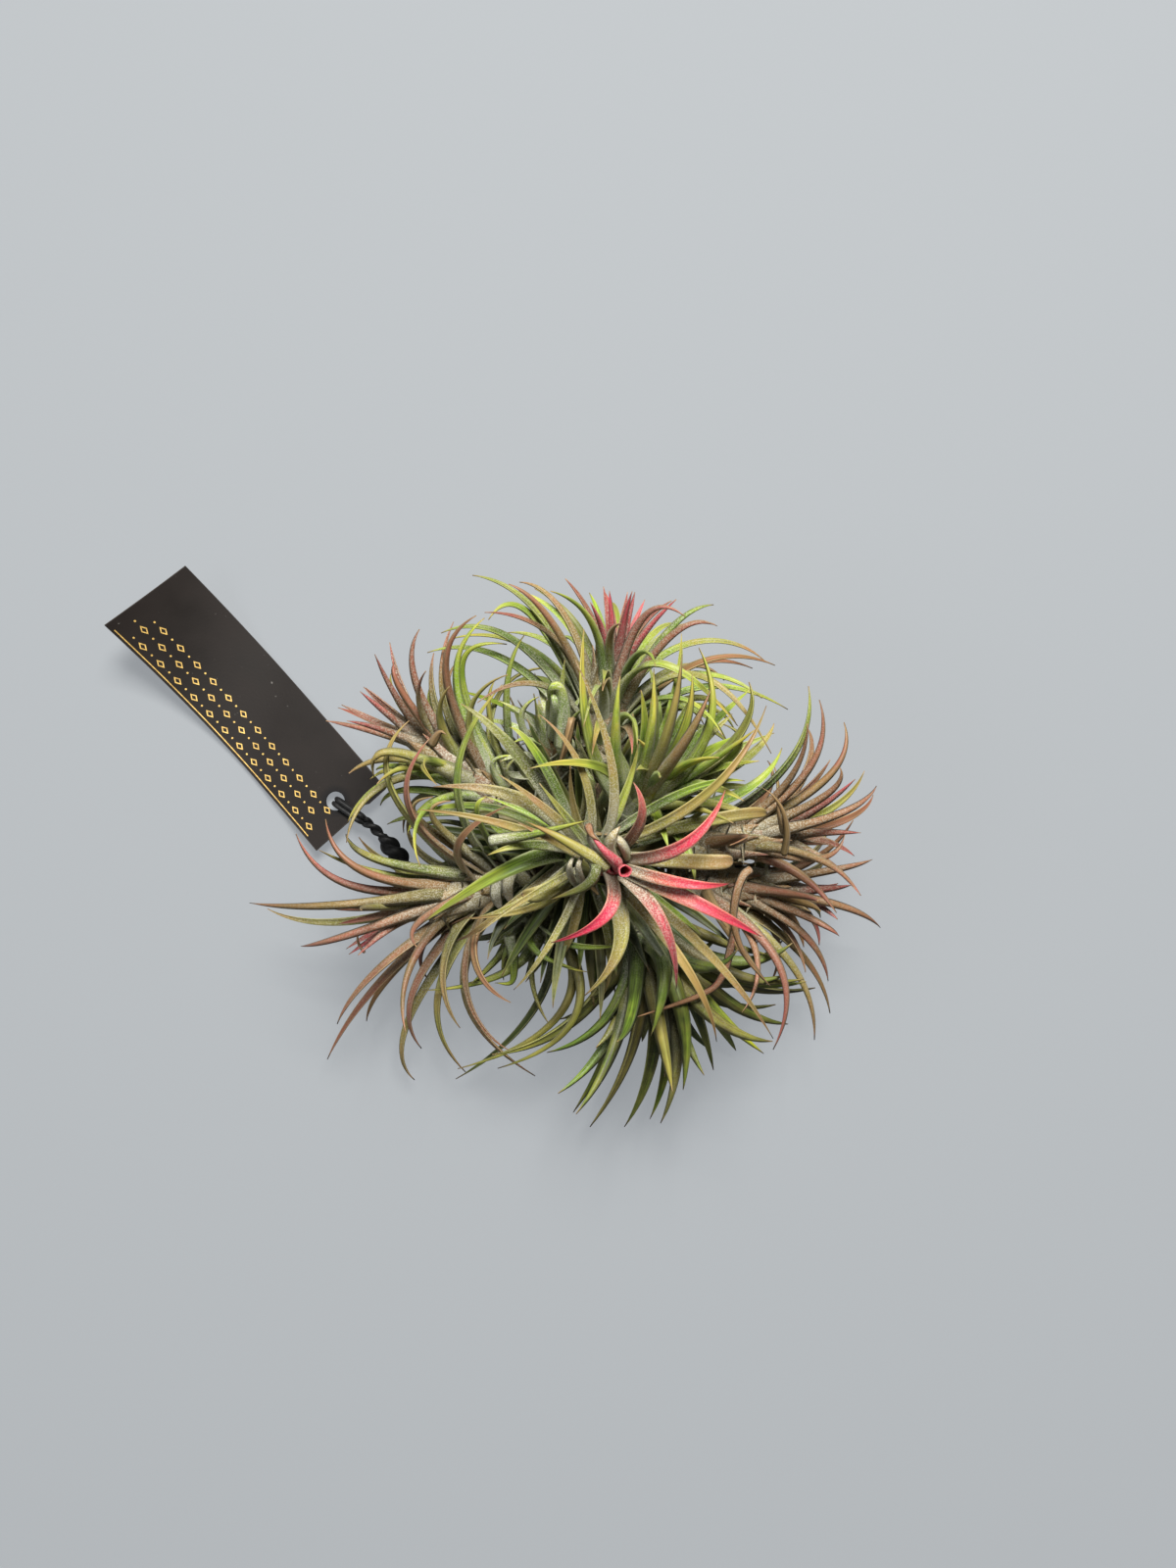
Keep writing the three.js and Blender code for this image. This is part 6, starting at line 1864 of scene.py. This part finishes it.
def make_flower():
    """A cone with a rolled lip and a bore that narrows to its floor, on an axis that leans to the eye."""
    shape, rng = Shape(), np.random.default_rng(31)
    axis = unit(np.array(FLOWER["lean"]))
    up = unit(np.array([0, 1.0, 0]) - axis * axis[1])
    mouth, bore, length = FLOWER["mouth"], FLOWER["bore"], FLOWER["length"]
    base = Frame(from_sheet(*FLOWER["sheet"]) - axis * length, axis, up, np.cross(axis, up))
    outer = [(NEAR_AXIS, 0), (mouth * 0.8, 0), (mouth * 0.72, length * 0.5), (mouth * 0.9, length * 0.85)]
    lip = [(mouth, length - 0.1), (mouth - 0.15, length + 0.1), (bore + 0.1, length)]
    floor = length - FLOWER["deep"]
    inner = [(bore, length - 0.5), (bore * 0.8, floor), (NEAR_AXIS, floor)]
    profile = outer + lip + inner
    add_turned(shape, base, profile, FLOWER["around"], rng, FLOWER["lumps"], **tone_values("tube"))
    shape.made("spent_flower", FINISHES["crimson_leaf"], "crimson_leaf")


make_strays("front_collar", "olive_leaf", COLLAR, 29, plump="collar")
make_flower()

# %% [markdown]
# ## Old leaves in the shade
#
# Looked at from above, the gaps between the heads are dark with shade, and the oldest leaves fill them. They
# are wide and short, stand straight out from the crown, and their flat dark tone is painted shade.

# %% Shaded leaves
def make_shaded():
    """The leaves that grew from the crown itself, coloured dark as painted shade."""
    shape, rng = Shape(), np.random.default_rng(37)
    for course, spec in shaded:
        add_leaf(shape, course, spec, spec["tone"], rng)
    shape.made("shaded_leaves", FINISHES["green_leaf"], "green_leaf")


make_shaded()

# %% [markdown]
# ## Stray leaves
#
# No old clump is tidy. A few dead leaves have curled up on the right-hand heads, thin ones wander across from
# one head to another, and a torn scrap of sheath stands up here and there. Each has a row like the collar's
# fingers, and the same function makes the piece.

# %% Stray leaves
STRAYS = [
    ["silver", 4.6, [574, 762, 60], [575, 722, 68], [571, 702, 72], [563, 703, 72], [560, 724, 64]],
    ["dry", 2.0, [800, 872, 56], [803, 850, 62], [799, 828, 67], [789, 812, 69], [778, 804, 68]],
    ["dry", 1.5, [799, 850, 60], [795, 832, 66], [793, 816, 68], [789, 806, 69]],
    ["dead", 2.4, [766, 887, 66], [758, 894, 67], [751, 914, 66], [749, 944, 62], [762, 978, 57],
     [786, 1006, 52]],
    ["dead", 2.4, [752, 940, 54], [746, 966, 52], [736, 998, 50], [713, 1016, 50], [640, 1041, 46]],
    ["dry", 2.6, [440, 760, 62], [449, 747, 66], [456, 750, 67]],
    ["dry", 2.6, [583, 732, 66], [578, 760, 64], [568, 786, 58]],
    ["dead", 0.9, [372, 972, 40], [366, 963, 41], [365, 954, 42], [369, 948, 43]],
    ["lime", 3.0, [500, 858, 74], [548, 850, 79], [600, 837, 84]],
    ["green", 3.4, [520, 955, 44], [524, 980, 40], [522, 1002, 36], [505, 1003, 34]],
    ["collar", 3.8, [526, 905, 44], [512, 896, 50], [506, 912, 52], [512, 930, 48]],
    ["collar", 3.8, [538, 900, 46], [524, 890, 52], [518, 904, 54], [522, 924, 50]],
    ["dead", 2.2, [600, 842, 84], [604, 852, 87], [612, 858, 87]],
]

make_strays("stray_leaves", "green_leaf", STRAYS, 41)
